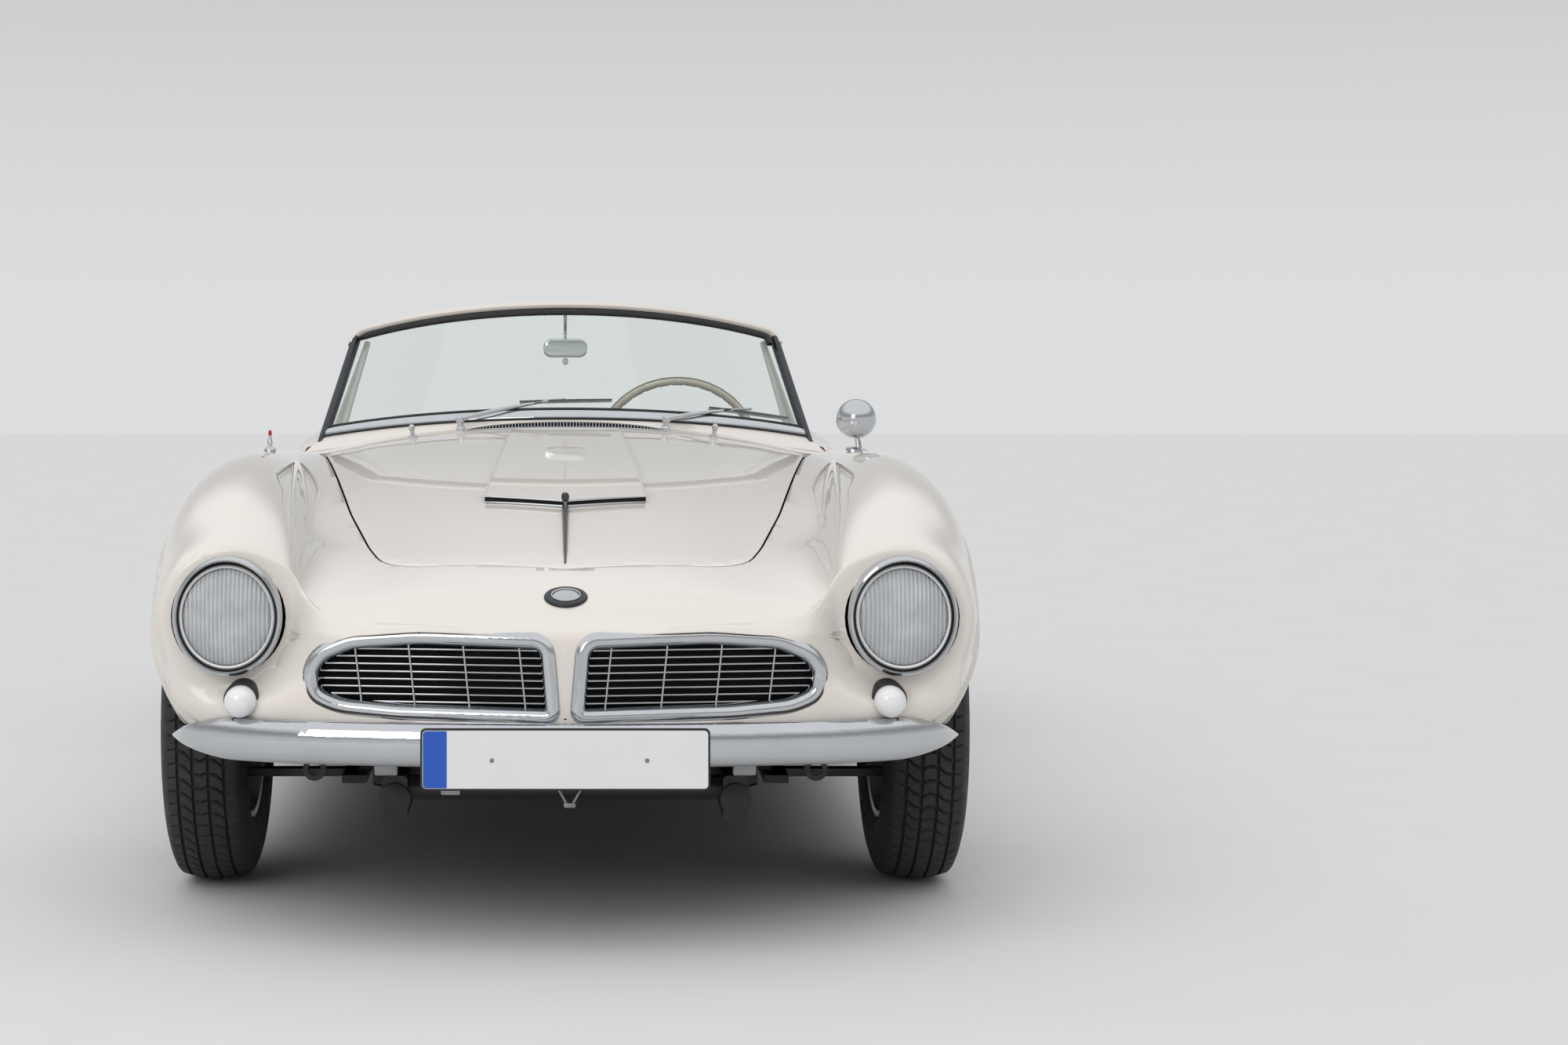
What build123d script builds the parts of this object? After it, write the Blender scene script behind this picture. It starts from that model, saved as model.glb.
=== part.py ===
"""Two-seat open roadster of the late 1950s: an aluminium body on a box frame, front engine, live rear axle.

Millimetres. +Z is up and the front of the car faces -Y, so +X is the driver's side (left-hand drive).
The origin is on the ground at mid length, on the centre plane. A "run" is a distance behind the front plate.
"""
import os
from collections import namedtuple
from math import atan2, cos, degrees, hypot, radians, sin

from build123d import *

os.makedirs("parts", exist_ok=True)

# ---------------------------------------------------------------- driving sizes
LENGTH = 4380  # front plate to rear bumper
WHEELBASE = 2480
FRONT_RUN = 810  # front axle
TRACK_FRONT = 1445
TRACK_REAR = 1425
TYRE_R = 345
TYRE_WIDTH = 172
RIM_R = 206  # bead seat
RIM_WIDTH = 134
ARCH_GAP = 25  # tyre to wheel arch
SKIN = 26  # body wall
SHUT_GAP = 7  # round the bonnet and the boot lid
DOOR_GAP = 5
DOOR_LENGTH = 830
DOOR_INNER_X = 690
DOOR_BEVEL = 20  # the rear face of a door leans forward by this much at its inner side
DOOR_SILL_Z = 300
COCKPIT_HALF_WIDTH = 655
COCKPIT_CORNER = 170
FLOOR_Z = 205
FLOOR_THICK = 16
PLATE = 8  # wall of the inner panels
FIREWALL_RUN = 1500
BOOT_FLOOR_Z = 440
AXLE_PIN_R = 24
KING_PIN_R = 16
KING_PIN_INSET = 27.5  # from the tyre's middle
RUN_FIT = 0.05  # radial clearance of a hub or an eye on its pin

REAR_RUN = FRONT_RUN + WHEELBASE
ARCH_R = TYRE_R + ARCH_GAP
DOOR_REAR = REAR_RUN - ARCH_R - 35
DOOR_FRONT = DOOR_REAR - DOOR_LENGTH
COCKPIT_FRONT = DOOR_FRONT - 63
COCKPIT_REAR = REAR_RUN - 125
TAIL_END = LENGTH - 95
KING_PIN_X = TRACK_FRONT / 2 - KING_PIN_INSET
HUGE = 3000  # past the car on every side


def at(run):
    """The Y of a run."""
    return run - LENGTH / 2


# ---------------------------------------------------------------- small helpers
def block(x, run, z):
    """A box between two values of x, of run and of z."""
    with BuildPart() as piece:
        with Locations(((x[0] + x[1]) / 2, at((run[0] + run[1]) / 2), (z[0] + z[1]) / 2)):
            Box(x[1] - x[0], run[1] - run[0], z[1] - z[0])
    return piece.part


def pair(x, run, z):
    """The same box on both sides of the centre plane."""
    with BuildPart() as piece:
        add(block(x, run, z))
        mirror(about=Plane.YZ)
    return piece.part


def rod(start, end, radius, end_radius=None):
    """A round bar, or a cone, between two points given as (x, run, z)."""
    a = Vector(start[0], at(start[1]), start[2])
    b = Vector(end[0], at(end[1]), end[2])
    axis = Plane(origin=a, z_dir=b - a)
    with BuildPart() as piece:
        with BuildSketch(axis):
            Circle(radius)
        if end_radius is None:
            extrude(amount=(b - a).length)
        else:
            with BuildSketch(axis.offset((b - a).length)):
                Circle(end_radius)
            loft()
    return piece.part


def turned(profile, centre, side=1):
    """A solid of revolution about an X axis; the profile is (outward distance, radius) pairs."""
    x, run, z = centre
    with BuildPart() as piece:
        with BuildSketch(Plane(origin=(x, at(run), z), x_dir=(side, 0, 0), z_dir=(0, -side, 0))):
            with BuildLine():
                Polyline(*profile, close=True)
            make_face()
        revolve(axis=Axis((x, at(run), z), (1, 0, 0)))
    return piece.part


def side_slab(profile, half_width):
    """A slab across the car; its side profile is (run, z) pairs."""
    with BuildPart() as piece:
        with BuildSketch(Plane.YZ.offset(-half_width)):
            with BuildLine():
                Polyline(*[(at(run), z) for run, z in profile], close=True)
            make_face()
        extrude(amount=2 * half_width)
    return piece.part


def save(piece, name):
    piece.label = name
    export_step(piece, f"parts/{name}.step")


# ---------------------------------------------------------------- body sections
Section = namedtuple(
    "Section",
    "run crown_z valley_x valley_z peak_x peak_z shoulder_x shoulder_z widest_x widest_z flank_x flank_z sill_x sill_z",
)
# Right half of the outer skin, from the centre line over the bonnet valley and the wing's peak down to the sill.
NOSE = [
    Section(60, 592, 120, 590, 180, 586, 235, 566, 255, 500, 245, 430, 225, 404),
    Section(95, 612, 250, 606, 370, 602, 450, 572, 480, 500, 462, 424, 425, 396),
    Section(150, 634, 340, 625, 500, 642, 610, 604, 645, 520, 625, 425, 570, 388),
    Section(220, 655, 400, 642, 590, 708, 700, 655, 738, 550, 722, 435, 640, 384),
]
WINGS = [
    NOSE[-1],
    Section(350, 688, 440, 672, 622, 790, 748, 725, 785, 600, 775, 470, 700, 384),
    Section(560, 730, 470, 708, 640, 848, 778, 785, 812, 640, 806, 480, 780, 350),
    Section(950, 800, 520, 768, 650, 882, 780, 822, 822, 650, 818, 450, 785, 230),
    Section(1400, 868, 575, 826, 672, 873, 768, 825, 812, 650, 802, 430, 770, 212),
    Section(1740, 913, 618, 852, 690, 860, 764, 814, 804, 640, 795, 420, 766, 208),
    Section(DOOR_FRONT - DOOR_GAP, 935, 640, 846, 697, 848, 760, 806, 798, 630, 790, 415, 764, 206),
]
CABIN = [
    WINGS[-1],
    Section(DOOR_FRONT + 425, 900, 640, 836, 695, 837, 760, 797, 797, 622, 790, 412, 765, 206),
    Section(DOOR_REAR + DOOR_GAP, 868, 630, 850, 690, 856, 772, 812, 812, 640, 804, 430, 776, 210),
]
TAIL = [
    CABIN[-1],
    Section(REAR_RUN, 866, 600, 858, 668, 884, 776, 824, 825, 650, 820, 450, 800, 230),
    Section(REAR_RUN + 410, 828, 540, 818, 640, 846, 748, 790, 802, 630, 792, 470, 745, 300),
    Section(TAIL_END - 265, 760, 480, 748, 595, 772, 700, 722, 752, 590, 738, 470, 680, 330),
    Section(TAIL_END - 85, 690, 430, 678, 545, 694, 640, 655, 688, 560, 655, 465, 580, 350),
    Section(TAIL_END, 600, 380, 594, 480, 600, 565, 575, 598, 520, 565, 455, 505, 375),
]
OPEN_BELOW = 90  # the inner skin runs this far below the sill, so the shell is open underneath


def skin_loft(rows, inset=0.0):
    """The closed solid inside the outer skin, or inside a skin set in by inset and open underneath."""
    drop = OPEN_BELOW if inset else 0
    with BuildPart() as solid:
        for row in rows:
            half = [
                (row.valley_x, row.valley_z - inset),
                (row.peak_x - 0.1 * inset, row.peak_z - inset),
                (row.shoulder_x - 0.7 * inset, row.shoulder_z - 0.7 * inset),
                (row.widest_x - inset, row.widest_z),
                (row.flank_x - inset, row.flank_z),
                (row.sill_x - inset, row.sill_z - drop),
            ]
            with BuildSketch(Plane.XZ.offset(-at(row.run))):
                with BuildLine():
                    (valley_x, valley_z), (sill_x, sill_z) = half[0], half[-1]
                    ThreePointArc((-valley_x, valley_z), (0, row.crown_z - inset), (valley_x, valley_z))
                    for side in (1, -1):
                        valley, peak, shoulder, widest, flank, sill = [(side * x, z) for x, z in half]
                        ThreePointArc(valley, peak, shoulder)
                        ThreePointArc(shoulder, widest, flank)
                        Line(flank, sill)
                    Line((sill_x, sill_z), (-sill_x, sill_z))
                make_face()
        loft(ruled=True)
    return solid.part


def shell(outer, rows, front_wall, rear_wall):
    """Skin of a stretch of the body: its outer solid less the inner one, which stops short of a closed end."""
    run = (rows[0].run + front_wall, rows[-1].run - rear_wall)
    with BuildPart() as piece:
        add(outer)
        with BuildPart(mode=Mode.PRIVATE) as hollow:
            add(skin_loft(rows, inset=SKIN))
            add(block((-HUGE, HUGE), run, (-HUGE, HUGE)), mode=Mode.INTERSECT)
        add(hollow.part, mode=Mode.SUBTRACT)
    return piece.part


nose_solid = skin_loft(NOSE)
wings_solid = skin_loft(WINGS)
cabin_solid = skin_loft(CABIN)
tail_solid = skin_loft(TAIL)
wings_space = skin_loft(WINGS, inset=SKIN)
tail_space = skin_loft(TAIL, inset=SKIN)
nose_shell = shell(nose_solid, NOSE, SKIN, 0)
wings_shell = shell(wings_solid, WINGS, 0, 0)
tail_shell = shell(tail_solid, TAIL, 0, SKIN)

# ---------------------------------------------------------------- openings
# Bonnet and boot lid in plan: half width at a run, from the front edge to the rear edge.
BONNET_PLAN = [(250, 345), (405, 500), (583, 1722)]
BONNET_CORNER = 90
BOOT_PLAN = [(495, REAR_RUN - 28), (500, REAR_RUN + 60), (460, TAIL_END - 330), (340, TAIL_END - 235)]
BOOT_CORNER = 60
LID_LOW, LID_HIGH = 560, 1100  # a lid is cut from the skin between these heights


def lid_prism(outline, corner, grow=0.0):
    """An upright prism over a lid's outline, with rounded corners, grown by its shut gap."""
    right = [(x, at(run)) for x, run in outline]
    left = [(-x, y) for x, y in reversed(right)]
    with BuildPart() as prism:
        with BuildSketch(Plane.XY.offset(LID_LOW)) as plan:
            with BuildLine():
                Polyline(*right, *left, close=True)
            make_face()
            fillet(plan.vertices(), corner)
            if grow:
                offset(amount=grow)
        extrude(amount=LID_HIGH - LID_LOW)
    return prism.part


def arch_drums(run, inner_x):
    """Two drums, open downwards, that cut the wheel arches through the side walls."""
    with BuildPart() as drums:
        for side in (1, -1):
            with BuildSketch(Plane.YZ.offset(side * inner_x)):
                with Locations((at(run), TYRE_R)):
                    Circle(ARCH_R)
                    Rectangle(2 * ARCH_R, 2 * TYRE_R, align=(Align.CENTER, Align.MAX))
            extrude(amount=side * HUGE)
    return drums.part


with BuildPart() as cockpit_hole:
    with BuildSketch(Plane.XY.offset(DOOR_SILL_Z)) as cockpit_plan:
        with Locations((0, at((COCKPIT_FRONT + COCKPIT_REAR) / 2))):
            Rectangle(2 * COCKPIT_HALF_WIDTH, COCKPIT_REAR - COCKPIT_FRONT)
        fillet(cockpit_plan.vertices().group_by(Axis.Y)[-1], COCKPIT_CORNER)
    extrude(amount=LID_HIGH - DOOR_SILL_Z)

# ---------------------------------------------------------------- grilles
GRILLE_INNER_X = 14  # from the centre plane to a grille's inner end
GRILLE_OUTER_X = 484
GRILLE_Z = 498
GRILLE_HEIGHT = 162
GRILLE_YAW = 7  # degrees, each grille follows the nose
GRILLE_RUN = 86  # at the middle of each grille
GRILLE_RIM = 22
GRILLE_PROUD = 12
GRILLE_DEPTH = 30
GRILLE_SLATS = 7
GRILLE_RODS = 4
BAR = 6
GRILLE_HALF = (GRILLE_OUTER_X - GRILLE_INNER_X) / 2 / cos(radians(GRILLE_YAW))


def grille_plane(side, forward):
    """Plane across one grille: its X runs along the grille, its Z points forward."""
    yaw = radians(GRILLE_YAW)
    middle_x = side * (GRILLE_INNER_X + GRILLE_OUTER_X) / 2
    face = Plane(
        origin=(middle_x, at(GRILLE_RUN), GRILLE_Z),
        x_dir=(cos(yaw), side * sin(yaw), 0),
        z_dir=(side * sin(yaw), -cos(yaw), 0),
    )
    return face.offset(forward)


def grille_solid(side, forward, back, shrink=0.0):
    """The grille's tear shape, square towards the middle and round towards the lamp, between two depths."""
    half, top, low = GRILLE_HALF, GRILLE_HEIGHT / 2, -GRILLE_HEIGHT / 2
    corners = [(-half, low), (half, low + 18), (half, top - 34), (0.45 * half, top - 2), (-half + 22, top)]
    with BuildPart() as solid:
        with BuildSketch(grille_plane(side, -back)) as face:
            with BuildLine():
                Polyline(*[(side * x, z) for x, z in corners], close=True)
            make_face()
            ends = face.vertices().group_by(Axis.X)
            outer, inner = (ends[-1], ends[0]) if side > 0 else (ends[0], ends[-1])
            fillet(outer, 52)
            fillet(inner, 30)
            if shrink:
                offset(amount=-shrink)
        extrude(amount=forward + back)
    return solid.part


with BuildPart() as grille_surrounds:
    for side in (1, -1):
        add(grille_solid(side, GRILLE_PROUD, GRILLE_DEPTH))
        add(grille_solid(side, 60, 60, shrink=GRILLE_RIM), mode=Mode.SUBTRACT)
save(grille_surrounds.part, "grille_surrounds")

with BuildPart() as grille_bars:
    for side in (1, -1):
        with BuildSketch(grille_plane(side, -GRILLE_DEPTH + BAR)):
            with GridLocations(0, (GRILLE_HEIGHT - 2 * GRILLE_RIM) / GRILLE_SLATS, 1, GRILLE_SLATS):
                Rectangle(2 * GRILLE_HALF, BAR)
        extrude(amount=GRILLE_DEPTH)
        with BuildSketch(grille_plane(side, -GRILLE_DEPTH + BAR)):
            with GridLocations(2 * GRILLE_HALF / (GRILLE_RODS + 1), 0, GRILLE_RODS, 1):
                Rectangle(BAR, GRILLE_HEIGHT)
        extrude(amount=GRILLE_DEPTH - 2 * BAR)
    with BuildPart(mode=Mode.PRIVATE) as grille_windows:
        for side in (1, -1):
            add(grille_solid(side, 60, 60, shrink=GRILLE_RIM))
    add(grille_windows.part, mode=Mode.INTERSECT)
save(grille_bars.part, "grille_slats")

# ---------------------------------------------------------------- headlamps
HEADLAMP_X = 632
HEADLAMP_Z = 606
HEADLAMP_RUN = 190  # front of the painted fairing
HEADLAMP_R = 108  # chrome rim
FAIRING_R = 116
FAIRING_DEPTH = 150
LENS_R = 89
BUCKET_R = LENS_R + 7
BUCKET_DEPTH = 70
RIM_PROUD = 20
LENS_BULGE = 24


def lamp_drum(side, radius, front, rear):
    return rod((side * HEADLAMP_X, front, HEADLAMP_Z), (side * HEADLAMP_X, rear, HEADLAMP_Z), radius)


with BuildPart() as headlamp_rims:
    for side in (1, -1):
        add(lamp_drum(side, HEADLAMP_R, HEADLAMP_RUN - RIM_PROUD, HEADLAMP_RUN))
        add(lamp_drum(side, BUCKET_R, HEADLAMP_RUN, HEADLAMP_RUN + BUCKET_DEPTH))
        add(lamp_drum(side, LENS_R, 0, HEADLAMP_RUN + BUCKET_DEPTH - PLATE), mode=Mode.SUBTRACT)
save(headlamp_rims.part, "headlamp_rims")

with BuildPart() as headlamp_lenses:
    for side in (1, -1):
        with BuildSketch(Plane.YZ.offset(side * HEADLAMP_X)):
            with BuildLine():
                edge, back = at(HEADLAMP_RUN - RIM_PROUD + 6), at(HEADLAMP_RUN - RIM_PROUD + 14)
                middle, rim_z = edge - LENS_BULGE, HEADLAMP_Z + LENS_R
                ThreePointArc((middle, HEADLAMP_Z), (edge - 0.72 * LENS_BULGE, HEADLAMP_Z + 0.5 * LENS_R), (edge, rim_z))
                Polyline((edge, rim_z), (back, rim_z), (back, HEADLAMP_Z), (middle, HEADLAMP_Z))
            make_face()
        revolve(axis=Axis((side * HEADLAMP_X, 0, HEADLAMP_Z), (0, 1, 0)))
save(headlamp_lenses.part, "headlamp_lenses")

# ---------------------------------------------------------------- front body with its side vents
VENT_RUN = (1395, 1795)
VENT_Z = (556, 640)
VENT_X = (784, 806)

with BuildPart() as side_vents:
    add(pair(VENT_X, VENT_RUN, VENT_Z))
save(side_vents.part, "side_vents")

with BuildPart() as front_body:
    add(nose_shell)
    add(wings_shell)
    add(lid_prism(BONNET_PLAN, BONNET_CORNER, grow=SHUT_GAP), mode=Mode.SUBTRACT)
    for side in (1, -1):
        add(lamp_drum(side, FAIRING_R, 20, HEADLAMP_RUN), mode=Mode.SUBTRACT)
        add(lamp_drum(side, FAIRING_R, HEADLAMP_RUN, HEADLAMP_RUN + FAIRING_DEPTH))
        add(lamp_drum(side, BUCKET_R, 20, HEADLAMP_RUN + FAIRING_DEPTH), mode=Mode.SUBTRACT)
        add(grille_solid(side, 200, 120), mode=Mode.SUBTRACT)
    add(arch_drums(FRONT_RUN, 475), mode=Mode.SUBTRACT)
    add(cockpit_hole.part, mode=Mode.SUBTRACT)
    add(pair((VENT_X[0], 900), VENT_RUN, VENT_Z), mode=Mode.SUBTRACT)
save(front_body.part, "front_body")

# ---------------------------------------------------------------- bonnet with its raised air scoop
SCOOP_RUN = (850, 1690)
SCOOP_HALF_WIDTH = (152, 110)
SCOOP_PROFILE = [(SCOOP_RUN[0], 790), (SCOOP_RUN[0] - 6, 819), (SCOOP_RUN[1], 907), (SCOOP_RUN[1], 895)]
SPEAR_PROFILE = [(380, 690), (380, 704), (600, 757), (840, 812), (840, 780)]
SPEAR_HALF_WIDTH = 6

with BuildPart() as scoop:
    with BuildSketch(Plane.XY.offset(LID_LOW)):
        with BuildLine():
            front, rear = (at(run) for run in SCOOP_RUN)
            wide, narrow = SCOOP_HALF_WIDTH
            Polyline((-wide, front), (wide, front), (narrow, rear), (-narrow, rear), close=True)
        make_face()
    extrude(amount=LID_HIGH - LID_LOW)
    add(side_slab(SCOOP_PROFILE, wide), mode=Mode.INTERSECT)

with BuildPart() as bonnet:
    add(nose_shell)
    add(wings_shell)
    add(lid_prism(BONNET_PLAN, BONNET_CORNER), mode=Mode.INTERSECT)
    add(scoop.part)
save(bonnet.part, "bonnet")

with BuildPart() as bonnet_trim:
    add(side_slab(SPEAR_PROFILE, SPEAR_HALF_WIDTH))
    add(bonnet.part, mode=Mode.SUBTRACT)
save(bonnet_trim.part, "bonnet_trim")

# ---------------------------------------------------------------- tail, boot lid, doors and sills
with BuildPart() as tail_body:
    add(tail_shell)
    add(lid_prism(BOOT_PLAN, BOOT_CORNER, grow=SHUT_GAP), mode=Mode.SUBTRACT)
    add(arch_drums(REAR_RUN, DOOR_INNER_X - 88), mode=Mode.SUBTRACT)
    add(cockpit_hole.part, mode=Mode.SUBTRACT)
save(tail_body.part, "tail_body")

with BuildPart() as boot_lid:
    add(tail_shell)
    add(lid_prism(BOOT_PLAN, BOOT_CORNER), mode=Mode.INTERSECT)
save(boot_lid.part, "boot_lid")

for side, name in ((1, "door_left"), (-1, "door_right")):
    with BuildPart() as door:
        with BuildSketch(Plane.XY.offset(DOOR_SILL_Z)):
            with BuildLine():
                Polyline(
                    (side * DOOR_INNER_X, at(DOOR_FRONT)),
                    (side * HUGE, at(DOOR_FRONT)),
                    (side * HUGE, at(DOOR_REAR)),
                    (side * (DOOR_INNER_X + 110), at(DOOR_REAR)),
                    (side * DOOR_INNER_X, at(DOOR_REAR - DOOR_BEVEL)),
                    close=True,
                )
            make_face()
        extrude(amount=LID_HIGH - DOOR_SILL_Z)
        add(cabin_solid, mode=Mode.INTERSECT)
    save(door.part, name)

with BuildPart() as sills:
    add(cabin_solid)
    add(pair((DOOR_INNER_X, HUGE), (0, LENGTH), (0, DOOR_SILL_Z - DOOR_GAP)), mode=Mode.INTERSECT)
save(sills.part, "sills")

# ---------------------------------------------------------------- frame, engine and running gear
RAIL_X = (330, 410)
RAIL_LOW, RAIL_HIGH = 165, 330
FRONT_RAIL_RUN = (250, 1350)
REAR_RAIL_RUN = (3178, 4200)
AXLE_Z = TYRE_R
AXLE_TUBE_R = 38
DIFFERENTIAL_R = 90
HUB_REACH = 66  # how far a stub runs past the tyre's middle
SPRING_X = 480
SHAFT_R = 34
SHAFT_Z = 300
GEARBOX_END = FIREWALL_RUN - 10

tube_end = TRACK_REAR / 2 - 70
stub_end = TRACK_REAR / 2 + HUB_REACH
axle_half = [(90, DIFFERENTIAL_R), (132, AXLE_TUBE_R), (tube_end, AXLE_TUBE_R)]
axle_half += [(tube_end, AXLE_PIN_R), (stub_end, AXLE_PIN_R), (stub_end, 0)]
with BuildPart() as rear_axle:
    add(turned([(-x, r) for x, r in reversed(axle_half)] + axle_half, (0, REAR_RUN, AXLE_Z)))
    add(rod((0, GEARBOX_END + 2, SHAFT_Z), (0, REAR_RUN, AXLE_Z - 10), SHAFT_R))
save(rear_axle.part, "rear_axle")

with BuildPart() as chassis_frame:
    front_end = FRONT_RAIL_RUN[1] - 20
    add(pair(RAIL_X, FRONT_RAIL_RUN, (240, RAIL_HIGH)))
    add(pair(RAIL_X, (front_end, FRONT_RAIL_RUN[1]), (RAIL_LOW, RAIL_HIGH)))
    add(pair(RAIL_X, (front_end, REAR_RAIL_RUN[0] + 52), (RAIL_LOW, FLOOR_Z)))
    add(pair(RAIL_X, (REAR_RAIL_RUN[0], REAR_RAIL_RUN[0] + 52), (RAIL_LOW, BOOT_FLOOR_Z)))
    add(pair(RAIL_X, REAR_RAIL_RUN, (390, BOOT_FLOOR_Z)))
    add(block((-RAIL_X[0], RAIL_X[0]), (FRONT_RAIL_RUN[0], FRONT_RAIL_RUN[0] + 80), (250, 320)))
    add(block((-RAIL_X[0], RAIL_X[0]), (REAR_RAIL_RUN[1] - 80, REAR_RAIL_RUN[1]), (390, BOOT_FLOOR_Z)))
    for side in (1, -1):
        add(rod((side * SPRING_X, REAR_RUN, AXLE_Z), (side * SPRING_X, REAR_RUN, BOOT_FLOOR_Z), 34))
    add(rear_axle.part, mode=Mode.SUBTRACT)

FRAME_PARTS = {
    "front_frame": (0, FRONT_RAIL_RUN[1]),
    "side_rails": (FRONT_RAIL_RUN[1], REAR_RAIL_RUN[0]),
    "rear_frame": (REAR_RAIL_RUN[0], LENGTH),
}
for name, frame_run in FRAME_PARTS.items():
    with BuildPart() as frame_part:
        add(chassis_frame.part)
        add(block((-HUGE, HUGE), frame_run, (0, HUGE)), mode=Mode.INTERSECT)
    save(frame_part.part, name)

ARM_RISE = 125  # of an arm above or below the axle
ARM = 16
EYE_R = 30
EYE_HEIGHT = 20
with BuildPart() as front_suspension:
    for rise in (ARM_RISE, -ARM_RISE):
        z = (AXLE_Z + rise - ARM / 2, AXLE_Z + rise + ARM / 2)
        add(pair((440, KING_PIN_X), (FRONT_RUN - 20, FRONT_RUN + 20), z))
        add(pair((RAIL_X[1], 460), (FRONT_RUN - 110, FRONT_RUN + 110), z))
        for side in (1, -1):
            foot = (side * KING_PIN_X, FRONT_RUN, AXLE_Z + rise - EYE_HEIGHT / 2)
            head = (side * KING_PIN_X, FRONT_RUN, AXLE_Z + rise + EYE_HEIGHT / 2)
            add(rod(foot, head, EYE_R))
            add(rod(foot, head, KING_PIN_R + RUN_FIT), mode=Mode.SUBTRACT)
    add(pair((RAIL_X[1], 430), (FRONT_RUN - 40, FRONT_RUN + 40), (212, 478)))
    add(block((-RAIL_X[0], RAIL_X[0]), (FRONT_RUN - 50, FRONT_RUN + 50), (245, 300)))
save(front_suspension.part, "front_suspension")

for side, name in ((1, "knuckle_left"), (-1, "knuckle_right")):
    pin_x = side * KING_PIN_X
    stub = HUB_REACH + KING_PIN_INSET
    with BuildPart() as knuckle:
        for radius, reach in ((KING_PIN_R, ARM_RISE + 18), (KING_PIN_R + 11, ARM_RISE - 18)):
            add(rod((pin_x, FRONT_RUN, AXLE_Z - reach), (pin_x, FRONT_RUN, AXLE_Z + reach), radius))
        profile = [(0, 0), (0, 42), (8, 42), (8, AXLE_PIN_R), (stub, AXLE_PIN_R), (stub, 0)]
        add(turned(profile, (pin_x, FRONT_RUN, AXLE_Z), side))
    save(knuckle.part, name)

with BuildPart() as engine:
    add(block((-200, 200), (620, 1240), (335, 660)))
    add(block((-100, 100), (1240, GEARBOX_END), (235, 420)))
save(engine.part, "engine_and_gearbox")

with BuildPart() as radiator:
    add(block((-300, 300), (345, 420), (335, 625)))
save(radiator.part, "radiator")

PIPE_X = -226
PIPE_R = 24
PIPE_Z = FLOOR_Z - PIPE_R - 5
SILENCER_RUN = (2400, 3000)
with BuildPart() as exhaust:
    add(rod((PIPE_X, 900, AXLE_Z), (PIPE_X, 1440, PIPE_Z), PIPE_R - 3))
    add(rod((PIPE_X, 1425, PIPE_Z), (PIPE_X, SILENCER_RUN[0] + 10, PIPE_Z), PIPE_R))
    add(block((PIPE_X - 84, PIPE_X + 76), SILENCER_RUN, (140, 198)))
    add(rod((PIPE_X, SILENCER_RUN[1] - 10, PIPE_Z - 6), (PIPE_X, LENGTH - 80, PIPE_Z + 36), PIPE_R))
    add(engine.part, mode=Mode.SUBTRACT)
save(exhaust.part, "exhaust")

# ---------------------------------------------------------------- floor, bulkheads and inner wings
TUNNEL_HALF = 112
TUNNEL_TOP = 400
INNER_WING_X = KING_PIN_X - 225  # clear of a fully steered tyre
REAR_WING_X = DOOR_INNER_X - 90
ROOF_Z = 900
tunnel_run = (FIREWALL_RUN, COCKPIT_REAR + PLATE)
with BuildPart() as cabin_floor:
    with BuildPart(mode=Mode.PRIVATE) as firewall:
        add(block((-735, 735), (FIREWALL_RUN, FIREWALL_RUN + PLATE), (FLOOR_Z, ROOF_Z)))
        add(wings_space, mode=Mode.INTERSECT)
    with BuildPart(mode=Mode.PRIVATE) as rear_wall:
        add(block((-REAR_WING_X, REAR_WING_X), (COCKPIT_REAR, COCKPIT_REAR + PLATE), (FLOOR_Z, ROOF_Z)))
        add(tail_space, mode=Mode.INTERSECT)
    add(firewall.part)
    add(rear_wall.part)
    floor_z = (FLOOR_Z, FLOOR_Z + FLOOR_THICK)
    add(block((-DOOR_INNER_X, DOOR_INNER_X), (FIREWALL_RUN, DOOR_REAR), floor_z))
    add(block((-REAR_WING_X, REAR_WING_X), (DOOR_REAR, COCKPIT_REAR), floor_z))
    add(block((-TUNNEL_HALF - PLATE, TUNNEL_HALF + PLATE), tunnel_run, (FLOOR_Z, TUNNEL_TOP + PLATE)))
    add(block((-TUNNEL_HALF, TUNNEL_HALF), tunnel_run, (FLOOR_Z - 5, TUNNEL_TOP)), mode=Mode.SUBTRACT)
save(cabin_floor.part, "cabin_floor")

with BuildPart() as inner_wings:
    wall_x = (INNER_WING_X - PLATE, INNER_WING_X)
    back_run = FRONT_RUN + ARCH_R + 6
    add(pair(wall_x, (430, FIREWALL_RUN), (300, ROOF_Z)))
    add(pair((wall_x[0], 800), (back_run, back_run + PLATE), (215, ROOF_Z)))
    add(wings_space, mode=Mode.INTERSECT)
    add(front_suspension.part, mode=Mode.SUBTRACT)
save(inner_wings.part, "inner_wings")

with BuildPart() as boot_floor:
    wall_x = (REAR_WING_X - PLATE, REAR_WING_X)
    back_run = REAR_RUN + ARCH_R + 6
    add(pair(wall_x, (DOOR_REAR + 10, back_run), (FLOOR_Z, ROOF_Z)))
    add(pair((wall_x[0], 800), (back_run, back_run + PLATE), (300, ROOF_Z)))
    add(pair((wall_x[0], 800), (DOOR_REAR + 10, DOOR_REAR + 10 + PLATE), (FLOOR_Z, ROOF_Z)))
    floor_run = (COCKPIT_REAR + PLATE, TAIL_END - SKIN - 3)
    add(block((-wall_x[1], wall_x[1]), floor_run, (BOOT_FLOOR_Z, BOOT_FLOOR_Z + PLATE)))
    add(tail_space, mode=Mode.INTERSECT)
    add(rod((-HUGE, REAR_RUN, AXLE_Z), (HUGE, REAR_RUN, AXLE_Z), AXLE_TUBE_R + 4), mode=Mode.SUBTRACT)
    add(cabin_floor.part, mode=Mode.SUBTRACT)
save(boot_floor.part, "boot_floor")

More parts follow.
